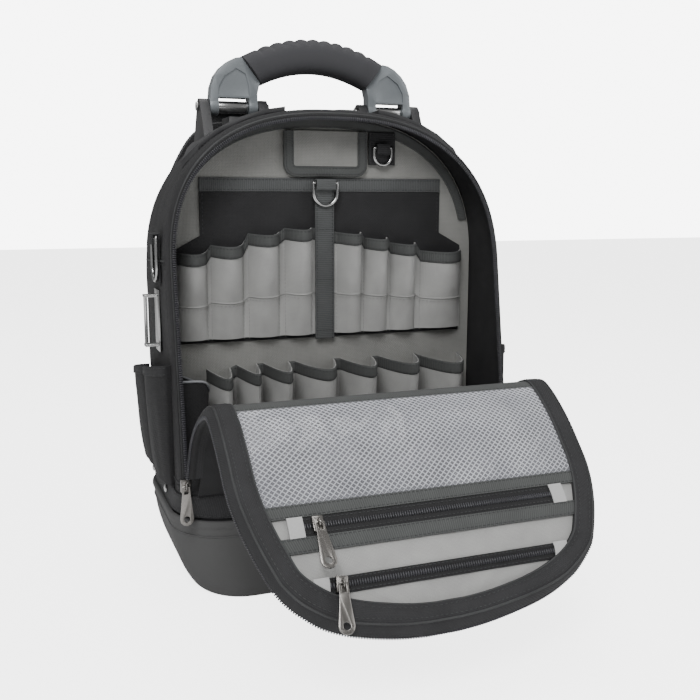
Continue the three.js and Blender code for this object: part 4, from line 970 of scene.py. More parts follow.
@dataclass
class Tub:
    """The moulded rubber tub that the pack stands on."""

    height: float = TUB_HEIGHT
    foot: tuple[float, float, float, float] = (154, -104, 80, 48)
    rim: tuple[float, float, float, float] = (179.55, -105.73, 98.55, 53.55)
    outside: Table = (
        (0, 0, 5), (0.012, 0.02, 2.2), (0.03, 0.06, 1), (0.06, 0.15, 0.3), (0.1, 0.24, 0), (0.16, 0.36, 0),
        (0.22, 0.47, 0), (0.3, 0.585, 0), (0.38, 0.68, 0), (0.48, 0.775, 0), (0.58, 0.86, 0), (0.68, 0.92, 0),
        (0.78, 0.96, 0), (0.86, 0.985, 0), (0.9, 1, 0.1), (0.915, 1, -0.7), (0.93, 1, -1.3), (0.96, 1, -1.6),
        (0.99, 1, -1.2), (1, 1, -0.2),
    )  # share of the height, share of the flare, inset
    inside: Table = (
        (82.2, 1, 0.9), (82, 1, 2.4), (81, 1, 3.1), (74, 1, 3.2), (73.6, 1, 7.2), (72, 0.99, 7.6),
        (41, 0.79, 3.7), (18, 0.47, 4.2), (6, 0.1, 5.2), (4, 0.03, 9),
    )  # height, share of the flare, inset

    def ring(self, z: float, flare: float, inset: float) -> np.ndarray:
        """Returns the tub's outline at height z."""
        half, front, back, corner = (mix(a, b, flare) for a, b in zip(self.foot, self.rim))
        radius = max(2.0, corner - inset)
        return plan_ring(z, half - inset, front + inset, back - inset, radius, radius)

    def build(self) -> None:
        """Builds the tub as one closed form, with its lip and its ribs."""
        outer = [self.ring(share * self.height, flare, inset) for share, flare, inset in self.outside]
        inner = [self.ring(*row) for row in self.inside]
        middle = np.array([0, -12, 0])
        under = [middle + (outer[0] - middle) * (k, k, 1) for k in (0.0, 0.35, 0.75)]
        floor = [middle + (inner[-1] - middle) * (k, k, 1) for k in (0.7, 0.3, 0.0)]
        rings = np.asarray([*under, *outer, *inner, *floor])
        body = sheet_grid("tub_moulding", through(rings), 240, len(rings) - 1, looped=True)
        modify(body, "SUBSURF", levels=1, render_levels=1)
        smooth(body, 50)
        settle(body, Finishes.TUB, stands_for=["tub"])
        line = self.ring(66.5, 0.968, -0.15)
        settle(bead("tub_rim_line", line[:-1], 0.75, closed=True), Finishes.TUB)


@dataclass
class Shell:
    """The black fabric shell: a domed hood round the opening, and the walls that sit in the tub."""

    half: float = HALF_WIDTH
    top: float = 473
    foot: float = 119
    wall: float = 2.2
    back: float = SHELL_BACK
    rear_radius: float = 30
    seam: float = 325

    def sag(self, points: np.ndarray) -> np.ndarray:
        """Lets the hood's top fall towards the back, as the CAD shell's does."""
        out = points.copy()
        weight = np.clip((points[:, 2] - 200) / 116, 0, 1)
        out[:, 2] -= BACK_FALL * (points[:, 1] - front_y(self.top)) * weight
        return out

    def hood_rows(self) -> np.ndarray:
        """Returns the hood's rows, from the opening's edge round the side to the middle of the back."""
        rows = []
        lip = (
            (6, 10, 3.4), (5.6, 9.2, 1.2), (4.6, 7.4, 0.5), (3.2, 5, 1.1), (1.7, 2.6, 3.2), (0.6, 0.9, 6.6),
            (0, 0, 12),
        )  # inset at the sides, inset at the crown, how far behind the front plane
        for side, crown, back in lip:
            line = arch(self.half - side, self.foot, self.top - crown)
            rows.append(stand(line, front_y(line[:, 1]) + back))
        line = arch(self.half, self.foot, self.top)
        start = front_y(line[:, 1]) + 12
        straight = self.back - self.rear_radius
        for t in np.linspace(0.06, 1, 18):
            rows.append(stand(line, mix(start, straight, t)))
        for a in np.radians([15, 30, 45, 60, 75, 90]):
            inset = self.rear_radius * (1 - math.cos(a))
            corner = arch(self.half - inset, self.foot, self.top - inset)
            rows.append(stand(corner, straight + self.rear_radius * math.sin(a)))
        last = rows[-1]
        rows += [last * (k, 1, 1) for k in (0.66, 0.33, 0.0)]
        return np.asarray([self.sag(row) for row in rows])

    def hood(self) -> None:
        """Builds the hood, with the soft waves of unlined cloth."""
        rows = self.hood_rows()
        surface = through(rows)

        def waved(u: np.ndarray, v: np.ndarray) -> np.ndarray:
            """Returns the hood's points with its waves."""
            p = surface(u, v)
            out = off_hood(p[:, 0], p[:, 2])
            depth = ease((v - 0.2) / 0.12) * ease((0.86 - v) / 0.1) * ease((p[:, 2] - 119) / 60)
            wave = ripple(p, 150, 1.5, 0.4) + ripple(p, 62, 0.7, 2.2)
            near_seam = np.exp(-(((p[:, 2] - self.seam) / 7) ** 2))
            return p + out * (wave * depth * (1 - near_seam))[:, None]

        hood = sheet_grid("shell_hood", waved, 190, 84, self.wall)
        settle(hood, Finishes.SHELL, stands_for=["shell"])

    def walls(self) -> None:
        """Builds the walls between the tub and the hood."""
        heights = [74.4, 82, 88, 96, 104, 110, 114, 117, self.foot + 1]
        rings = np.asarray([shell_ring(z, 0) for z in heights])
        wall = sheet_grid("shell_walls", through(rings), 240, 16, self.wall, looped=True)
        settle(wall, Finishes.SHELL)

    def seams(self) -> None:
        """Sews the hood: the seam above the walls, the seam on its sides, and the cord round its mouth."""
        ring = shell_ring(self.foot + 0.5, 0.2)[:-1]
        behind = ring[ring[:, 1] > front_y(HINGE_HEIGHT) + 4]
        break_at = int(np.argmax(np.linalg.norm(np.diff(behind, axis=0), axis=1))) + 1
        order = np.roll(behind, -break_at, axis=0)
        settle(bead("shell_foot_seam", order, 0.8), Finishes.DARK_PIPING)
        lines = [(order + (0, 0, -3.2), order * (1, 1, 0))]
        for side, name in ((1, "right"), (-1, "left")):
            y = np.linspace(front_y(self.seam) + 12, 64, 60)
            z = self.seam - BACK_FALL * (y + 39.9)
            line = np.column_stack([np.full(60, side * (self.half + 0.25)), y, z])
            settle(bead(f"shell_side_seam_{name}", line, 0.9), Finishes.DARK_PIPING)
            lines += [(line + (side * 0.1, 0, dz), np.array([side, 0, 0.0])) for dz in (-3.4, 3.4)]
        mouth = arch(self.half - 3.6, 124, self.top - 5.6, 200)
        edge = self.sag(stand(mouth, front_y(mouth[:, 1]) + 0.2))
        settle(bead("mouth_cord", edge, 1.1), Finishes.DARK_PIPING)
        crown = arch(self.half, 124, self.top, 200)
        back = stand(crown, front_y(crown[:, 1]) + 15)
        out = off_hood(crown[:, 0], crown[:, 1])
        lines.append((self.sag(back) + out * 0.15, out))
        sewn("shell_stitches", lines, Finishes.DARK_THREAD)

    def zip_half(self) -> None:
        """Builds the zip's half that is sewn round the opening: a tape and its coil."""
        inner, outer = arch(168.8, 126, 461.8, 260), arch(174.3, 126, 467.3, 260)
        rows = []
        for t in np.linspace(0, 1, 4):
            line = mix(inner, outer, t)
            rows.append(stand(line, front_y(line[:, 1]) - 1.1 + 0.5 * t))
        tape = sheet_grid("body_zip_tape", through(rows), 259, 6, 0.8, FORWARD, turned=True)
        settle(tape, Finishes.TAPE, stands_for=["body_zip_half"])
        line = arch(169.6, 126.5, 462.6, 400)
        coil("body_zip_coil", stand(line, front_y(line[:, 1]) - 1.9), OFF_ZIP, 4.2, 1.7)
        seam = arch(173, 127, 466, 300)
        line = stand(seam, front_y(seam[:, 1]) - 1.0)
        sewn("body_zip_stitches", [(line, OFF_ZIP)], Finishes.DARK_THREAD, 3.6)

    def band(self) -> None:
        """Builds the ribbed web round the foot of the walls and its stitches."""
        rings = np.asarray([shell_ring(z, 1.75) for z in (84, 86, 90, 94, 98, 102, 106, 108)])
        band = sheet_grid("rim_web", through(rings), 300, 12, 1.4, looped=True, turned=True)
        settle(band, Finishes.BLACK_WEB, stands_for=["rim_band"])
        lines = []
        for z in (86.4, 105.6):
            ring = shell_ring(z, 1.85)
            lines.append((ring, (ring - (0, 0, z)) * (1, 1, 0)))
        sewn("rim_web_stitches", lines, Finishes.DARK_THREAD)

    def build(self) -> None:
        """Builds every piece of the shell."""
        self.hood()
        self.walls()
        self.seams()
        self.zip_half()
        self.band()


@dataclass
class PocketRow:
    """A row of pockets in one pleated strip of cloth, with a binding along its top edge."""

    name: str
    rows: Table
    base: float
    bottom: float
    top: float
    depth: float
    fullness: Table
    half: float = 159
    fall: float = 26
    steps: int = 12
    seams: tuple[float, ...] = ()
    seed: float = 0.0

    def columns(self) -> np.ndarray:
        """Returns for each column its x, how far it stands out, and its top's height."""
        out = []
        for left, right, drop in self.rows:
            t = np.linspace(0, 1, self.steps + 1)
            x = mix(left, right, t) * self.half
            swell = np.sin(math.pi * t).clip(0) ** 0.75
            bow = 1.5 * np.sin(math.pi * t)
            out.append(np.stack([x, swell, self.top - drop * self.fall - bow + 1.0], axis=1))
        return np.vstack(out)

    def place(self, share: np.ndarray, lift: float) -> np.ndarray:
        """Returns the strip's rows at shares of its height, lifted off its cloth."""
        columns = self.columns()
        full = np.interp(share, *np.asarray(curved(self.fullness)).T)
        rows = []
        for s, f in zip(share, full):
            z = mix(self.bottom, columns[:, 2], s)
            pleat = ripple(np.column_stack([columns[:, 0], z, z]), 46, 1.1, self.seed) * columns[:, 1]
            y = self.base - lift - self.depth * columns[:, 1] * f - pleat * f * ease((0.86 - s) / 0.2)
            rows.append(np.column_stack([columns[:, 0], y, z]))
        return np.asarray(rows)

    def build(self) -> None:
        """Builds the strip, its binding and its stitches."""
        grid = self.place(np.linspace(0, 1, 23), 1.6)
        count = grid.shape[1] - 1
        strip = sheet_grid(f"{self.name}_cloth", through(grid), count, 44, 1.5, FORWARD)
        settle(strip, Finishes.LINING, stands_for=[self.name])
        columns = self.columns()
        edge = columns[:, 0], self.base - self.depth * columns[:, 1], columns[:, 2]
        heights = (0.3, -0.4, -2, -6, -10, -11.6, -12)
        lifts = (1.4, 2.6, 3.3, 3.4, 3.3, 2.9, 2.2)
        rows = [np.column_stack([edge[0], edge[1] - lift, edge[2] + dz]) for dz, lift in zip(heights, lifts)]
        binding = sheet_grid(f"{self.name}_edge", through(rows), count, 12, 1.0, FORWARD, turned=True)
        settle(binding, Finishes.BINDING, stands_for=[f"{self.name}_binding"])
        sewing = [
            (np.column_stack([edge[0], edge[1] - 3.5, edge[2] - drop]), FORWARD) for drop in (10.2, 1.8)
        ]
        sewn(f"{self.name}_edge_stitches", sewing, Finishes.DARK_THREAD, 3.8)
        lines = []
        for left, right, _ in self.rows:
            for side in (left, right):
                column = int(np.argmin(np.abs(columns[:, 0] - side * self.half)))
                lines.append((grid[:-3, column] + (0, -0.3, 0), FORWARD))
        for z in self.seams:
            share = (z - self.bottom) / (columns[:, 2].mean() - self.bottom)
            line = self.place(np.array([share, share]), 1.9)[0]
            settle(bead(f"{self.name}_seam", line, 0.7), Finishes.LINING_CORD)
            lines.append((line + (0, -0.2, -3), FORWARD))
        sewn(f"{self.name}_stitches", lines, Finishes.GREY_THREAD)


@dataclass
class Inside:
    """What is seen in the opening: the tool panel and everything sewn on it."""

    face: float = -4.0
    upper: Table = (
        (-1.0, -0.8, 0.88), (-0.775, -0.565, 0.62), (-0.53, -0.325, 0.19), (-0.285, -0.1, 0),
        (0.075, 0.25, 0.19), (0.27, 0.44, 0.42), (0.465, 0.65, 0.65), (0.69, 1.0, 1),
    )
    lower: Table = (
        (-0.82, -0.66, 0.1), (-0.62, -0.48, 0), (-0.44, -0.26, 0), (-0.22, 0.06, 0),
        (0.1, 0.34, 0), (0.38, 0.66, 0), (0.7, 1.0, 0.1),
    )

    def panel(self) -> None:
        """Builds the grey tool panel that fills the arch, with a soft quilted face, its grey lining darkened
        with painted shade.
        """
        half, top, foot = 172.2, 467.2, 75.5

        def surface(u: np.ndarray, v: np.ndarray) -> np.ndarray:
            """Returns the panel's points."""
            z = foot + (top - foot) * (1 - (1 - v) ** 1.35)
            x = (2 * u - 1) * arch_half(half, top, z)
            p = np.column_stack([x, np.full(len(x), self.face), z])
            p[:, 1] += ripple(p, 120, 0.35, 0.9)
            return p

        cloth_piece = sheet_grid("tool_panel_cloth", surface, 60, 80, 3.4, FORWARD)
        flat_uv(cloth_piece, 0, 2)
        settle(cloth_piece, Finishes.LINING_IN_PAINTED_SHADE, stands_for=["tool_panel"])

    def flat_pieces(self, nodes: dict[str, bpy.types.Object]) -> None:
        """Dresses the flat pieces on the tool panel: pocket, webs, flap and tab.

        Args:
            nodes: The CAD nodes by name.
        """
        for node, finish, slot, bevel in (
            ("document_pocket", Finishes.BLACK, "black_fabric", 0.5),
            ("cross_web", Finishes.WEB, "grey_web", 0.5),
            # The top flap wears the grey lining darkened with painted shade.
            ("top_flap", Finishes.LINING_IN_PAINTED_SHADE, "grey_fabric", 0.8),
            ("ring_tab", Finishes.BLACK_WEB, "black_web", 0.5),
            ("centre_web", Finishes.WEB, "grey_web", 0.5),
        ):
            piece = dress(nodes, node, "sewn", bevel, finish)
            flat_uv(piece, *((2, 0) if node == "cross_web" else (0, 2)))

        def row(x0: float, z0: float, x1: float, z1: float, y: float) -> tuple[np.ndarray, np.ndarray]:
            """Returns a straight row of stitches on the panel."""
            return np.linspace((x0, y, z0), (x1, y, z1), 8), FORWARD

        grey = [
            row(-132, 393, 132, 393, -6.25),
            row(-132, 403, 132, 403, -6.25),
            row(-11, 238, -11, 398, -11.8),
            row(6, 238, 6, 398, -11.8),
            row(-11, 246, 6, 246, -11.8),
            row(-11, 300, 6, 300, -11.8),
            row(-11, 352, 6, 352, -11.8),
        ]
        sewn("web_stitches", grey, Finishes.DARK_THREAD, pitch=3.6)
        tab = [
            row(50, 421, 76, 421, -8.4),
            row(50, 451, 76, 451, -8.4),
            row(50, 421, 50, 451, -8.4),
            row(76, 421, 76, 451, -8.4),
        ]
        sewn("tab_stitches", tab, Finishes.DARK_THREAD, pitch=3.6)
        hem = [row(-158, 241, 158, 241, -6.1), row(-130, 350, -130, 388, -6.1), row(130, 350, 130, 388, -6.1)]
        sewn("document_stitches", hem, Finishes.DARK_THREAD)

    def flap_edge(self) -> None:
        """Binds the top flap's left side and foot with a dark web."""
        x, z, corner, y = 45.0, 407.0, 12.0, -9.3

        def outline(inset: float) -> np.ndarray:
            """Returns the flap's left side, foot and right side, moved inwards."""
            r = max(2.0, corner - inset)
            left = [(-x + inset, 452), (-x + inset, z + inset + r)]
            a = np.radians(np.linspace(180, 270, 9))
            bend = [(-x + inset + r + r * math.cos(t), z + inset + r + r * math.sin(t)) for t in a]
            b = np.radians(np.linspace(270, 360, 9))
            turn = [(x - inset - r + r * math.cos(t), z + inset + r + r * math.sin(t)) for t in b]
            return resampled(np.array([*left, *bend, *turn, (x - inset, 452)]), 90)

        profile = ((-0.6, y + 2.6), (-0.8, y), (0.4, y - 0.9), (5, y - 1.1), (9.2, y - 0.9), (10, y))
        rows = [stand(outline(inset), depth) for inset, depth in profile]
        edge = sheet_grid("top_flap_edge", through(rows), 89, 10, 0.9, FORWARD, turned=True)
        settle(edge, Finishes.BINDING)
        lines = [(stand(outline(inset), y - 1.2), FORWARD) for inset in (8.2, 1.8)]
        sewn("top_flap_stitches", lines, Finishes.DARK_THREAD, 3.6)

    def arch_edge(self) -> None:
        """Builds the dark band that follows the arch above the cross web."""
        outer, inner = arch(171, 360, 466, 180), arch(161, 360, 456, 180)
        rows = []
        for t, y in ((0, -4.5), (0.02, -5.6), (0.1, -6.1), (0.5, -6.2), (0.9, -6.1), (0.98, -5.6), (1, -4.5)):
            rows.append(stand(mix(outer, inner, t), y))
        band = sheet_grid("arch_web", through(rows), 179, 10, 0.8, FORWARD, turned=True)
        settle(band, Finishes.BINDING, stands_for=["arch_band"])
        lines = [(stand(mix(outer, inner, t), -6.3), FORWARD) for t in (0.15, 0.85)]
        sewn("arch_web_stitches", lines, Finishes.DARK_THREAD, 3.8)

    def pockets(self) -> None:
        """Builds both rows of pockets."""
        PocketRow(
            "upper_pockets", self.upper, -6.3, 242, 353, 21,
            ((0, 0.35), (0.19, 0.5), (0.37, 0.66), (0.6, 0.92), (0.85, 1), (1, 1)), seams=(281,), seed=1.0,
        ).build()
        PocketRow(
            "lower_pockets", self.lower, -4.35, 84, 212, 48,
            ((0, 0.1), (0.3, 0.55), (0.6, 0.86), (0.88, 1), (1, 1)), seed=3.0,
        ).build()

    def wall_pocket(self) -> None:
        """Builds the loose black pocket on the inside of the left wall, with its light cord."""
        shape = curved([
            (0, -0.02, 0), (0, 0.3, 0), (0.12, 0.8, 0.15), (0.35, 1, 0.7), (0.6, 1, 1), (0.85, 0.8, 0.6),
            (1, 0.3, 0.2), (1, -0.02, 0.2),
        ], 8)
        rows = []
        for share, full in ((0, 0.05), (0, 0.7), (0.25, 0.82), (0.5, 0.9), (0.8, 0.97), (1, 1)):
            z = mix(114, 211 - 18 * shape[:, 2], share)
            x = -172.6 + 36 * shape[:, 1].clip(0) * full
            rows.append(np.column_stack([x, mix(-66, -14, shape[:, 0]), z]))
        grid = softened(rows, 5)
        columns = grid.shape[1] - 1
        pouch = sheet_grid("wall_pocket_cloth", through(grid), columns, 30, 1.4, toward=(1, -0.5, 0))
        settle(pouch, Finishes.BLACK, stands_for=["inner_pocket"])
        cord = settle(bead("wall_pocket_cord", grid[-1] + (0, 0, 0.4), 1.3), Finishes.PIPING)

    def build(self, nodes: dict[str, bpy.types.Object]) -> None:
        """Builds everything in the opening from the CAD nodes and its own sizes."""
        self.panel()
        self.flat_pieces(nodes)
        self.flap_edge()
        self.arch_edge()
        self.pockets()
        self.wall_pocket()


@dataclass
class SidePocket:
    """The pleated pocket on one side of the pack."""

    side: int
    name: str
    wall: float = 176.35
    reach: float = 20
    pleat: Table = (
        (0, -0.02), (0, 0.36), (0.08, 0.7), (0.25, 0.95), (0.42, 0.85), (0.5, 0.62), (0.58, 0.88), (0.78, 1),
        (0.93, 0.75), (1, 0.36), (1, -0.02),
    )

    def rows(self, shares: Sequence[tuple[float, float]], lift: float) -> np.ndarray:
        """Returns the pocket's rows at shares of its height, each with how full it is."""
        plan = curved(self.pleat, 8)
        out = []
        for share, full in shares:
            top = mix(228, 206, plan[:, 0])
            x = self.wall + self.reach * plan[:, 1].clip(0) * full + lift
            out.append(np.column_stack([self.side * x, mix(-66, 72, plan[:, 0]), mix(110, top, share)]))
        return np.asarray(out)

    def build(self) -> None:
        """Builds the pocket, its hem and its stitches."""
        shares = ((0, 0.04), (0, 0.5), (0.06, 0.6), (0.4, 0.85), (0.75, 0.96), (1, 1))
        grid = softened(self.rows(shares, 0), 6)
        surface = through(grid)

        def creased(u: np.ndarray, v: np.ndarray) -> np.ndarray:
            """Returns the pocket's points with the creases of its pleats."""
            p = surface(u, v)
            within = ease(v / 0.3) * ease((0.93 - v) / 0.2)
            p[:, 0] += self.side * ripple(p * (0, 1, 0.35), 34, 1.0, 1.2) * within
            return p

        toward, columns = (self.side, 0, 0), grid.shape[1] - 1
        pouch = sheet_grid(f"{self.name}_cloth", creased, columns, 44, 1.4, toward)
        settle(pouch, Finishes.BLACK, stands_for=[self.name])
        hem_rows = self.rows(((1.004, 1), (0.985, 1), (0.96, 1), (0.925, 0.995), (0.918, 0.99)), 0)
        lifts = (0.1, 0.9, 1.2, 1.1, 0.3)
        hem_rows = np.asarray([row + (self.side * lift, 0, 0) for row, lift in zip(hem_rows, lifts)])
        hem = sheet_grid(f"{self.name}_hem", through(hem_rows), columns, 10, 1.0, toward, turned=True)
        settle(hem, Finishes.BLACK_WEB)
        lines = []
        for share in (0.985, 0.932):
            line = self.rows(((share, 1),), 1.25)[0][6:-6]
            lines.append((line, np.array([self.side, 0.0, 0])))
        sewn(f"{self.name}_stitches", lines, Finishes.DARK_THREAD)


@dataclass
class FoldedPanel:
    """The zipped front panel, laid flat as u across and s along, then folded over its section."""

    half: float = 173
    sway: float = 24
    root: tuple[float, float] = (-99.69, 111.0)
    fold: Table = (
        (0, 0, 0), (0.03, 0.16, 0), (0.052, 0.36, 0), (0.088, 0.6, 0), (0.165, 0.8, 0), (0.25, 0.925, 0),
        (0.345, 1, 0), (0.41, 1, 0.036), (0.483, 1, 0.108), (0.558, 1, 0.2), (0.621, 1, 0.295),
        (0.683, 1, 0.39), (0.733, 1, 0.475), (0.779, 1, 0.565), (0.825, 1, 0.67), (0.862, 1, 0.765),
        (0.9, 1, 0.855),
        (0.935, 1, 0.925), (0.97, 1, 0.972), (1, 1, 1),
    )  # shares of the reach, of the rise to the fold, of the drop from it
    sways: Table = ((0.2, 0), (0.6, 0.21), (0.86, 0.25), (0.92, 0.38), (0.96, 0.63), (1, 1))
    outline: Table = (
        (0, 1), (0.3, 0.968), (0.42, 0.953), (0.55, 0.945), (0.65, 0.936), (0.7, 0.92), (0.74, 0.9),
        (0.78, 0.874), (0.82, 0.842), (0.86, 0.803), (0.893, 0.744), (0.922, 0.67), (0.947, 0.578),
        (0.968, 0.46), (0.984, 0.32), (0.995, 0.19), (1, 0.08),
    )  # share of the length, share of the half width
    edge_profile: Table = (
        (23, 3.4), (22.8, 5.2), (21.5, 6.6), (19, 7.3), (17, 7.5), (14, 7.5), (11, 7.3), (8, 6.8),
        (5, 5.5), (3, 3.9), (1.4, 1.9), (0.2, -0.7), (0, -2.0), (0.8, -3.2), (3, -4.4), (8, -4.4), (14, -4.0),
    )  # inset, height off the panel's middle
    reach: float = 241
    rise: float = 96
    drop: float = 143
    border_start: float = 17
    points: np.ndarray = field(init=False)
    places: np.ndarray = field(init=False)
    tangents: np.ndarray = field(init=False)
    length: float = field(init=False)

    def __post_init__(self) -> None:
        """Works out the section's curve and its length."""
        y, z = self.root
        rows = [(y - self.reach * a, z + self.rise * b - self.drop * c) for a, b, c in self.fold]
        self.points = curved(rows, 40)
        steps = np.linalg.norm(np.diff(self.points, axis=0), axis=1)
        self.places = np.concatenate([[0], np.cumsum(steps)])
        self.length = float(self.places[-1])
        self.tangents = unit(np.gradient(self.points, self.places, axis=0))

    def lay(self, u: np.ndarray, s: np.ndarray, h: np.ndarray | float) -> np.ndarray:
        """Puts points of the flat panel on the folded one.

        Args:
            u: How far across.
            s: How far along from the root.
            h: How high off the middle surface.

        Returns:
            Rows of points.
        """
        u, s, h = np.broadcast_arrays(np.asarray(u, float), np.asarray(s, float), np.asarray(h, float))
        within = np.clip(s, 0, self.length)
        y, z = (np.interp(within, self.places, self.points[:, k]) for k in (0, 1))
        ty, tz = (np.interp(within, self.places, self.tangents[:, k]) for k in (0, 1))
        extra = s - within
        shift = -self.sway * read(self.sways, within / self.length)
        return np.column_stack([u + shift, y + ty * extra + tz * h, z + tz * extra - ty * h])

    def off(self, u: np.ndarray, s: np.ndarray) -> np.ndarray:
        """Returns the directions off the panel's face at points of the flat panel."""
        return self.lay(u, s, 1.0) - self.lay(u, s, 0.0)

    def stations(self, count: int = 300) -> tuple[np.ndarray, np.ndarray]:
        """Returns points right round the flat panel's edge, and the directions inwards at them."""
        rows = np.array([(w * self.half, s * self.length) for s, w in self.outline])
        line = curved(rows, 10)
        line = line[line[:, 1] >= self.border_start]
        whole = resampled(np.vstack([line * (-1, 1), line[::-1]]), count)
        run = unit(np.gradient(whole, axis=0))
        inward = np.column_stack([run[:, 1], -run[:, 0]])
        middle = np.array([0, self.length * 0.5])
        flip = np.sign(((middle - whole) * inward).sum(axis=1))
        inward *= np.median(flip)
        for _ in range(6):
            inward[1:-1] = (inward[:-2] + 2 * inward[1:-1] + inward[2:]) / 4
        return whole, unit(inward)

    def around(self, inset: float, h: float, count: int = 300) -> np.ndarray:
        """Returns the line round the panel's edge at an inset and a height."""
        whole, inward = self.stations(count)
        p = whole + inward * inset
        return self.lay(p[:, 0], p[:, 1], h)

    def half_at(self, s: np.ndarray, inset: float) -> np.ndarray:
        """Returns half the flat panel's width at lengths s, moved inwards."""
        whole, inward = self.stations()
        p = (whole + inward * inset)[: len(whole) // 2]
        order = np.argsort(p[:, 1])
        low = self.half * read(self.outline, np.asarray(s) / self.length) - inset
        return np.where(np.asarray(s) < p[:, 1].min(), low, np.interp(s, p[order, 1], -p[order, 0]))

    def patch(
        self, start: float, end: float, inset: float, height: Callable[[np.ndarray, np.ndarray], np.ndarray]
    ) -> Surface:
        """A patch across the panel.

        Args:
            start: Where it starts, as a share of the panel's length.
            end: Where it ends.
            inset: How far it stays from the panel's edges.
            height: Its height off the middle, from its u and v.

        Returns:
            The surface.
        """

        def surface(u: np.ndarray, v: np.ndarray) -> np.ndarray:
            """Returns the patch's points."""
            s = mix(start, end, v) * self.length
            return self.lay((2 * u - 1) * self.half_at(s, inset), s, height(u, v))

        return surface

    def body(self) -> None:
        """Builds the grey face of the panel and its black back."""

        def face(u: np.ndarray, v: np.ndarray) -> np.ndarray:
            """Returns the face's height, with soft waves between the trims."""
            p = np.column_stack([u * 330, v * 340, v * 90])
            return 3.4 + ripple(p, 90, 0.5, 0.3) * ease(v / 0.1)

        front = sheet_grid("panel_face", self.patch(0, 0.985, 14, face), 90, 150, 2.4, ON_FACE)
        settle(front, Finishes.LINING, stands_for=["front_panel"])
        under = self.patch(0, 0.985, 12.5, lambda u, v: np.full(len(u), -1.2))
        rear = sheet_grid("panel_back", under, 60, 120, 2.2, ON_FACE)
        settle(rear, Finishes.SHELL)
        strip = self.patch(-0.005, 0.075, 6, lambda u, v: 3.9 - 3.4 * v)
        root = sheet_grid("panel_hinge", strip, 90, 16, 1.6, ON_FACE)
        settle(root, Finishes.SHELL)

    def border(self) -> None:
        """Builds the padded border, its cords, its stitches and its zip half."""
        whole, inward = self.stations(340)
        rows = []
        for inset, h in curved(self.edge_profile, 3):
            p = whole + inward * inset
            rows.append(self.lay(p[:, 0], p[:, 1], h))
        grid = np.asarray(rows)
        edge = sheet_grid("panel_edge", through(grid), 339, len(rows) - 1, turned=True)
        turn_outwards(edge, (0, -0.3, 1))
        modify(edge, "SOLIDIFY", thickness=1.2 * MM, offset=-1.0)
        smooth(edge, 50)
        settle(edge, Finishes.BORDER, stands_for=["panel_border", "panel_zip_half"])
        settle(bead("panel_inner_cord", self.around(21.9, 6.3), 0.9), Finishes.DARK_PIPING)
        settle(bead("panel_outer_cord", self.around(5.6, 6.0), 0.9), Finishes.DARK_PIPING)
        lines = []
        for inset, h in ((18.6, 7.5), (9.4, 7.2)):
            p = whole + inward * inset
            lines.append((self.lay(p[:, 0], p[:, 1], h), self.off(p[:, 0], p[:, 1])))
        sewn("panel_edge_stitches", lines, Finishes.DARK_THREAD)
        tape = np.asarray([self.around(i, h) for i, h in ((7, -4.9), (4, -5.2), (1.4, -4.2), (0.4, -3.6))])
        strip = sheet_grid("panel_zip_tape", through(tape), 299, 6, 0.7, toward=(0, -0.5, -1), turned=True)
        settle(strip, Finishes.TAPE)
        away = self.around(0.0, -3.4) - self.around(3.0, -2.0)
        coil("panel_zip_coil", self.around(0.2, -3.2), away, 3.4, 2.2)

    def ribbon_at(self, name: str, start: float, end: float, node: str | None) -> bpy.types.Object:
        """Lays a ribbed ribbon across the panel and returns it."""
        surface = self.patch(start, end, 22.3, lambda u, v: 5.5 + 0.25 * np.sin(v * math.pi))
        strip = sheet_grid(name, surface, 80, 8, 1.4, ON_PANEL, turned=True)
        settle(strip, Finishes.BINDING, stands_for=[node] if node else ())
        return strip

    def trims(self) -> None:
        """Lays the ribbons and sews them down."""
        lines = []
        for name, start, end, node in (
            ("crest_web", 0.352, 0.412, "fold_ribbon"),
            ("window_web", 0.682, 0.712, "window_ribbon"),
            ("zip_web", 0.756, 0.79, "zip_ribbon"),
        ):
            self.ribbon_at(name, start, end, node)
            for share in (start + 0.004, end - 0.004):
                u = np.linspace(-1, 1, 60) * (self.half_at(np.array([share * self.length]), 22.5)[0] - 2)
                s = np.full(60, share * self.length)
                lines.append((self.lay(u, s, 5.7), self.off(u, s)))
        sewn("panel_web_stitches", lines, Finishes.DARK_THREAD, pitch=3.8)

    def window(self) -> None:
        """Builds the window: its backing, the net and the clear sheet over it."""
        start, end = 0.411, 0.6815

        def bulge(u: np.ndarray, v: np.ndarray) -> np.ndarray:
            """Returns how far the window stands up."""
            return np.sin(math.pi * v.clip(0, 1)).clip(0) * (1 - (2 * u - 1) ** 4).clip(0)

        # The backing's dark tone is painted shade inside the pocket behind the window.
        behind = self.patch(start, end, 22.2, lambda u, v: 3.9 + 0.4 * bulge(u, v))
        backing = sheet_grid("window_backing", behind, 60, 30, toward=ON_PANEL)
        settle(backing, Finishes.BACKING_IN_PAINTED_SHADE, stands_for=["mesh_window"])
        across, along = 104, 38
        i, j = np.meshgrid(np.arange(across + 1), np.arange(along + 1), indexing="ij")
        keep = (i + j) % 2 == 0
        index = np.full(keep.shape, -1)
        index[keep] = np.arange(int(keep.sum()))
        u, v = i[keep] / across, j[keep] / along
        points = self.patch(start, end, 22.4, lambda a, b: 4.7 + 1.9 * bulge(a, b))(u, v)
        faces = []
        for a in range(across + 1):
            for b in range(along - 1):
                if index[a, b] >= 0 and 0 < a < across:
                    diamond = ((a, b), (a + 1, b + 1), (a, b + 2), (a - 1, b + 1))
                    faces.append([int(index[corner]) for corner in diamond])
        mesh = bpy.data.meshes.new("window_net")
        mesh.from_pydata((points * MM).tolist(), [], faces)
        net = linked("window_net", mesh)
        modify(net, "WIREFRAME", thickness=1.25 * MM, use_even_offset=False)
        smooth(net, 60)
        # The net's near-white finish is painted highlight on grey strands.
        settle(net, Finishes.NET_WITH_PAINTED_GLINTS)

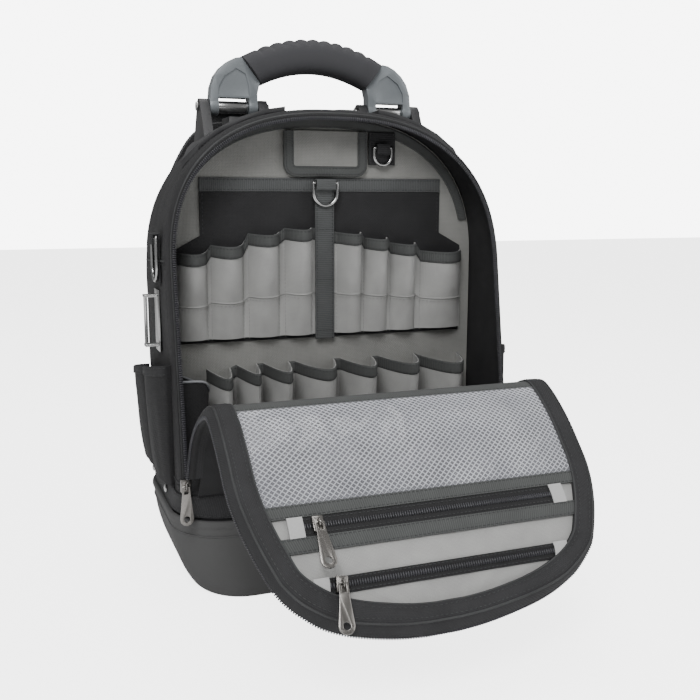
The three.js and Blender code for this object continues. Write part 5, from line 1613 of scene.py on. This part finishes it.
        def clear(u: np.ndarray, v: np.ndarray) -> np.ndarray:
            """Returns the clear sheet's height, with its creases."""
            p = np.column_stack([u * 300, v * 110, v * 40])
            crease = 1.6 * np.exp(-(((u - 0.47 - 0.02 * np.sin(v * 5)) * 300 / 5) ** 2))
            crease += 0.9 * np.exp(-(((u - 0.23 - 0.05 * v) * 300 / 6) ** 2))
            wave = ripple(p, 58, 1.3, 2.6) + ripple(p * (1, 0.5, 1), 22, 0.6, 0.7)
            edge = ease(v / 0.12) * ease((1 - v) / 0.12) * ease(u / 0.05) * ease((1 - u) / 0.05)
            return 5.6 + (4.4 * bulge(u, v) + wave + crease) * edge

        sheet = sheet_grid("window_sheet", self.patch(start, end, 21.8, clear), 150, 60, toward=ON_PANEL)
        settle(sheet, Finishes.VINYL)

    def pocket_zip(self, name: str, node: str, start: float, end: float, half: float) -> None:
        """Builds one closed pocket zip across the panel.

        Args:
            name: Starts the names of its pieces.
            node: The CAD node that it stands for.
            start: Where its tape starts, as a share of the panel's length.
            end: Where its tape ends.
            half: Half its length.
        """

        def surface(u: np.ndarray, v: np.ndarray) -> np.ndarray:
            """Returns the tape's points, lowest beside its teeth."""
            s = mix(start, end, v) * self.length
            width = np.minimum(half, self.half_at(s, 22.6))
            return self.lay((2 * u - 1) * width, s, 4.9 - 0.5 * np.exp(-(((v - 0.5) / 0.2) ** 2)))

        tape = sheet_grid(f"{name}_tape", surface, 100, 12, 1.0, ON_PANEL, turned=True)
        settle(tape, Finishes.TAPE, stands_for=[node])
        s = np.full(80, (start + end) / 2 * self.length)
        u = np.linspace(-half + 8, half - 8, 80)
        coil(f"{name}_teeth", self.lay(u, s, 5.2), self.off(u, s), 4.6, 1.5)
        lines = []
        for share in (0.13, 0.87):
            line_s = np.full(80, mix(start, end, share) * self.length)
            lines.append((self.lay(u, line_s, 5.2), self.off(u, line_s)))
        sewn(f"{name}_stitches", lines, Finishes.DARK_THREAD, pitch=3.6)
        for side, word in ((-1, "left"), (1, "right")):

            def tab(a: np.ndarray, b: np.ndarray, side: int = side) -> np.ndarray:
                """Returns the points of the folded tab over the zip's end."""
                across = side * (half - 11 * (1 - a) + 1.5 * a)
                along = mix(start - 0.002, end + 0.002, b) * self.length
                return self.lay(across, along, 5.9 + 0.5 * np.sin(math.pi * b))

            end_tab = sheet_grid(f"{name}_tab_{word}", tab, 10, 10, 1.0, ON_PANEL)
            settle(end_tab, Finishes.TAB)

    def build(self) -> None:
        """Builds every piece of the folded panel."""
        self.body()
        self.border()
        self.trims()
        self.window()
        self.pocket_zip("upper_zip", "pocket_zip_upper", 0.713, 0.755, 121)
        self.pocket_zip("lower_zip", "pocket_zip_lower", 0.848, 0.884, 109)


@dataclass
class Ring:
    """A D-ring of round wire: a straight bar through a web, and a round bow below it."""

    body: str
    bar: tuple[float, float, float]
    across: tuple[float, float, float]
    width: float
    height: float
    wire: float = 3.6
    corner: float = 0.7

    def build(self) -> None:
        """Bends the wire of the ring."""
        radius = (self.width - self.wire) / 2
        drop = self.height - self.wire - radius
        a = np.linspace(0, math.pi, 33)
        bow = np.stack([radius * np.cos(a), drop + radius * np.sin(a)], axis=1)
        c = self.corner
        turn = [(radius - c, 0), (radius - 0.3 * c, 0.3 * c), (radius, c)]
        flat = np.array([(0, 0), *turn, *bow, *[(-x, d) for x, d in reversed(turn)]])
        side = np.asarray(self.across, float)
        line = np.asarray(self.bar) + flat[:, :1] * side - flat[:, 1:] * np.array([0, 0, 1.0])
        ring = bead(f"{self.body}_wire", line, self.wire / 2 - 0.05, closed=True)
        settle(ring, Finishes.STEEL, self.body, [self.body])


@dataclass
class Hardware:
    """The rings, bent anew, and the clip, rivets, sliders, pulls and loop, refined from CAD nodes."""

    rings: tuple[Ring, ...] = (
        Ring("ring_centre", (-2.5, -13.75, 400), (1, 0, 0), 29.6, 27),
        Ring("ring_upper", (63, -10.45, 437), (1, 0, 0), 23.4, 21.6),
        Ring("ring_side", (-180.3, -16, 347), (0, 1, 0), 32, 46),
    )
    pulls: tuple[str, ...] = ("pocket_upper", "pocket_lower", "main_left", "main_right")

    def build(self, nodes: dict[str, bpy.types.Object]) -> None:
        """Bends the rings, and dresses the rest of the hardware from its CAD nodes.

        Args:
            nodes: The CAD nodes by name.
        """
        for ring in self.rings:
            ring.build()
        for name in self.pulls:
            dress(nodes, f"slider_{name}", "cast", 0.6, Finishes.PULL)
            dress(nodes, f"pull_{name}", "cast", 0.45, Finishes.PULL, f"pull_{name}")
        dress(nodes, "tape_clip", "bent", 0.6, Finishes.STEEL)
        for name in sorted(nodes):
            if name.startswith("rivet"):
                dress(nodes, name, "dome", 0, Finishes.STEEL, levels=2)
        loop = dress(nodes, "ring_side_loop", "web", 0.5, Finishes.BLACK_WEB)
        flat_uv(loop, 1, 2)


@dataclass
class Handle:
    """The carry handle: rubber grip, forked legs, pins and brackets."""

    sides: tuple[str, ...] = ("left", "right")

    def grip(self) -> None:
        """Builds the rubber grip: nine round bumps on top, and a smooth front and underside."""
        stations, around = 150, 40
        t = np.linspace(-1, 1, stations)
        bow = 1 - t * t
        top = np.column_stack([t * 78, np.full(stations, 36.0), mix(528, 549, bow)])
        bottom = np.column_stack([t * 57, np.full(stations, 36.0), mix(500, 514, bow)])
        bumps = 2.4 * (np.abs(np.cos((t / 0.78) * 4.5 * math.pi)) ** 0.7 - 0.8)
        bumps *= ease((0.84 - np.abs(t)) / 0.06)
        slim = mix(0.86, 1, ease((1 - np.abs(t)) * 4))
        lift = unit(top - bottom)
        rows = []
        for a in np.linspace(0, 2 * math.pi, around + 1):
            up = math.cos(a)
            share = (1 + np.sign(up) * abs(up) ** 0.8) / 2
            p = bottom + (top - bottom) * share
            p[:, 1] += 15.5 * slim * np.sign(math.sin(a)) * abs(math.sin(a)) ** 0.8
            p += lift * (bumps * ease((up - 0.35) / 0.45))[:, None]
            rows.append(p)
        grid = np.asarray(rows).transpose(1, 0, 2)
        whole = np.asarray([*drawn_in(grid[0], 0.0, 0.8), *grid, *drawn_in(grid[-1], 0.8, 0.0)])
        grip = sheet_grid("grip_moulding", through(whole), around, len(whole) - 1, looped=True)
        smooth(grip, 70)
        settle(grip, Finishes.GRIP, "handle", ["grip"])

    def build(self, nodes: dict[str, bpy.types.Object]) -> None:
        """Builds the grip and dresses the legs, pins and brackets from their CAD nodes.

        Args:
            nodes: The CAD nodes by name.
        """
        self.grip()
        for side in self.sides:
            dress(nodes, f"leg_{side}", "cast", 1.1, Finishes.LEG, "handle")
            dress(nodes, f"pin_{side}", "turned", 0.6, Finishes.STEEL)
            dress(nodes, f"bracket_{side}", "moulded", 1.1, Finishes.PLASTIC)


@dataclass
class Harness:
    """The back pad and the two shoulder straps."""

    near: float = 95.4
    depth: float = 15
    strap_half: float = 30

    def outline(self) -> np.ndarray:
        """Returns the back pad's outline as rows of x and z, closed."""
        table = ((0.57, 0), (0.21, 0.056), (0, 0.226), (0, 0.63), (0.536, 0.859), (0.893, 0.96), (1.25, 1))
        right = [(170 - a * 56, mix(112, 466, b)) for a, b in table]
        corners = [*right, *[(-x, z) for x, z in reversed(right)]]
        closed = np.array([*corners, corners[0]])
        line = resampled(closed, 201)
        for _ in range(8):
            line[1:-1] = (line[:-2] + 2 * line[1:-1] + line[2:]) / 4
            line[0] = line[-1] = (line[1] + line[-2]) / 2
        return line

    def pad(self) -> None:
        """Builds the back pad, crowned between its sewn channels."""
        edge = self.outline()
        middle = np.array([0, 289.0])
        rows = []
        shares = [*np.linspace(0, 0.9, 30), 0.94, 0.97, 0.99, 1.0, 1.0, 1.0]
        crown = [*([1.0] * 30), 0.93, 0.82, 0.62, 0.4, 0.15, 0.0]
        for k, full in zip(shares, crown):
            flat = middle + (edge - middle) * k
            channels = np.exp(-((flat[:, 0] / 7) ** 2))
            for z in (180, 250, 320, 390):
                channels = np.maximum(channels, np.exp(-(((flat[:, 1] - z) / 5) ** 2)))
            y = self.near + (self.depth - 4.5 * channels * ease((0.93 - k) / 0.1)) * full
            rows.append(stand(flat, y))
        for k in (0.97, 0.0):
            rows.append(stand(middle + (edge - middle) * k, self.near))
        pad = sheet_grid("back_pad_foam", through(rows), 200, len(rows) - 1, looped=True)
        flat_uv(pad, 0, 2)
        smooth(pad, 60)
        settle(pad, Finishes.PAD, stands_for=["back_pad"])
        rim = stand(edge, self.near + 5.5)[:-1]
        settle(bead("back_pad_cord", rim, 1.6, closed=True), Finishes.DARK_PIPING)

    def strap_line(self) -> np.ndarray:
        """Returns the right strap's middle line."""
        half = 6.0  # of the strap's thickness
        near, top = SHELL_BACK + FIT_GAP + self.depth + FIT_GAP + half, 487 - half
        line = [(73, near - 14 * share, top) for share in (1, 0.3)]
        for fall, bow, run in (
            (0, 0, 0), (0.07, 0, 0.02), (0.2, 0.6, 0.1), (0.4, 1, 0.28), (0.6, 1, 0.52), (0.8, 0.7, 0.78),
            (1, 0.3, 1),
        ):
            line.append((mix(73, 104, run), near + 24 * bow, mix(top - 12, 190, fall)))
        return curved(line, 10)

    def strap(self, side: int, word: str) -> None:
        """Builds one padded shoulder strap with its edge binding.

        Args:
            side: 1 for the right one, -1 for the left.
            word: Its side in words.
        """
        line = resampled(self.strap_line(), 91)
        run = unit(np.gradient(line, axis=0))
        across = unit(np.array([1.0, 0, 0]) - run * run[:, :1])
        out = np.cross(across, run)
        place = np.linspace(0, 1, 91)
        width = self.strap_half * np.interp(place, (0, 0.05, 0.12, 0.93, 1), (0.86, 0.9, 1, 0.95, 0.7))
        swell = 6 * np.interp(place, (0, 0.02, 0.08, 0.95, 1), (0.55, 0.8, 1, 0.9, 0.5))
        rows = []
        for a in np.linspace(0, 2 * math.pi, 41):
            ca, sa = math.cos(a), math.sin(a)
            x = np.sign(ca) * abs(ca) ** 0.45
            y = np.sign(sa) * abs(sa) ** 0.8
            rows.append(line + across * (width * x)[:, None] + out * (swell * y)[:, None])
        grid = np.asarray(rows).transpose(1, 0, 2)
        whole = np.asarray([*drawn_in(grid[0], 0.0), *grid, *drawn_in(grid[-1], 0.0)]) * (side, 1, 1)
        strap = sheet_grid(f"strap_{word}_foam", through(whole), 40, len(whole) - 1, looped=True)
        smooth(strap, 60)
        settle(strap, Finishes.PAD, stands_for=[f"strap_{word}"])
        for edge_side, tag in ((1, "outer"), (-1, "inner")):
            path = (line + across * ((width + 0.2) * edge_side)[:, None]) * (side, 1, 1)
            cord = bead(f"strap_{word}_{tag}_cord", path[2:-2], 1.7)
            settle(cord, Finishes.DARK_PIPING)

    def build(self, nodes: dict[str, bpy.types.Object]) -> None:
        """Builds the pad and the straps, and dresses the buckles and lower webs.

        Args:
            nodes: The CAD nodes by name.
        """
        self.pad()
        for side, word in ((1, "right"), (-1, "left")):
            self.strap(side, word)
            dress(nodes, f"buckle_{word}", "moulded", 0.9, Finishes.PLASTIC)
            web = dress(nodes, f"lower_web_{word}", "sewn", 0.4, Finishes.BLACK_WEB)
            flat_uv(web, 0, 2)


@dataclass
class Studio:
    """The pale floor, the soft lights and the camera at the photograph's angle."""

    azimuth: float = -19.2
    distance: float = 0.957
    height: float = 0.387
    pitch: float = 9.77
    yaw: float = -1.7
    roll: float = 0.12
    focal_pixels: float = 896

    def floor(self) -> None:
        """Lays a wide flat floor under the pack."""
        bpy.ops.object.select_all(action="DESELECT")
        bpy.ops.mesh.primitive_plane_add(size=12)
        floor = named(bpy.context.active_object, "floor")
        finish = Finish(
            "studio_floor", Pattern.MOULDED, "f4f4f4", "fdfdfd", 2.0, 0.0, 0.7, 0.05, 0.02, woven=False
        )
        material = finish.material()
        shader = material.node_tree.nodes["Principled BSDF"]
        shader.inputs["Emission Color"].default_value = (1, 1, 1, 1)
        t = Tree(material.node_tree)
        seen = t.add("ShaderNodeLightPath").outputs["Is Camera Ray"]
        t.link(t.math("MULTIPLY_ADD", seen, 3.4, 0.1), shader.inputs["Emission Strength"])
        floor.data.materials.append(material)

    def light(self, name: str, place: Sequence[float], size: float, power: float) -> None:
        """Adds a square soft light that looks at the pack.

        Args:
            name: The light's name.
            place: Where it stands.
            size: The length of its side.
            power: Its power in watts.
        """
        data = bpy.data.lights.new(name, "AREA")
        data.shape = "SQUARE"
        data.size = size
        data.energy = power
        light = linked(name, data)
        aim = Vector((0, -0.05, 0.25)) - Vector(place)
        light.rotation_euler = aim.to_track_quat("-Z", "Y").to_euler()
        light.location = place

    def world(self) -> None:
        """Fills the studio with an even white light."""
        world = bpy.data.worlds.new("studio")
        world.use_nodes = True
        t = Tree(world.node_tree)
        back = world.node_tree.nodes["Background"]
        back.inputs["Color"].default_value = (1, 1, 1, 1)
        path = t.add("ShaderNodeLightPath")
        strength = t.math("MULTIPLY_ADD", path.outputs["Is Camera Ray"], 7.0, 0.33)
        t.link(strength, back.inputs["Strength"])
        bpy.context.scene.world = world

    def camera(self) -> None:
        """Sets the camera from the fit to the photograph."""
        a, p, y, q = (math.radians(v) for v in (self.azimuth, self.pitch, self.yaw, self.roll))
        place = Vector((math.sin(a) * self.distance, -math.cos(a) * self.distance, self.height))
        level = Vector((-math.sin(a), math.cos(a), 0))
        turned = Vector(
            (level.x * math.cos(y) - level.y * math.sin(y), level.x * math.sin(y) + level.y * math.cos(y), 0)
        )
        right = Vector((turned.y, -turned.x, 0))
        forward = turned * math.cos(p) + Vector((0, 0, -math.sin(p)))
        up = right.cross(forward)
        right, up = right * math.cos(q) + up * math.sin(q), up * math.cos(q) - right * math.sin(q)
        data = bpy.data.cameras.new("camera")
        data.sensor_width = SENSOR
        data.lens = self.focal_pixels / PHOTO_PIXELS * SENSOR
        camera = linked("camera", data)
        turn = Matrix((right, up, -forward)).transposed().to_4x4()
        camera.matrix_world = Matrix.Translation(place) @ turn
        bpy.context.scene.camera = camera

    def build(self) -> None:
        """Sets the floor, lights, world and camera."""
        self.floor()
        self.world()
        self.light("key", (-0.9, -1.6, 1.9), 1.1, 50)
        self.light("fill", (1.7, -1.1, 1.1), 1.2, 12)
        self.light("top", (0.1, 0.2, 2.2), 1.2, 20)
        self.camera()


def dress_leftovers(nodes: dict[str, bpy.types.Object]) -> None:
    """Gives each CAD node a patterned finish too, so that none keeps a flat colour.

    Args:
        nodes: The CAD nodes by name.
    """
    for node in nodes.values():
        node.data.materials.clear()
        node.data.materials.append(Finishes.PLASTIC.material())


def main() -> None:
    """Builds the pack and the studio."""
    logging.basicConfig(level=logging.INFO, format="%(name)s %(message)s")
    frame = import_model()
    nodes = frame["nodes"]
    Studio().build()
    dress_leftovers(nodes)
    Tub().build()
    Shell().build()
    Inside().build(nodes)
    SidePocket(1, "side_pocket_right").build()
    SidePocket(-1, "side_pocket_left").build()
    FoldedPanel().build()
    Hardware().build(nodes)
    Handle().build(nodes)
    Harness().build(nodes)


if __name__ == "__main__":
    main()
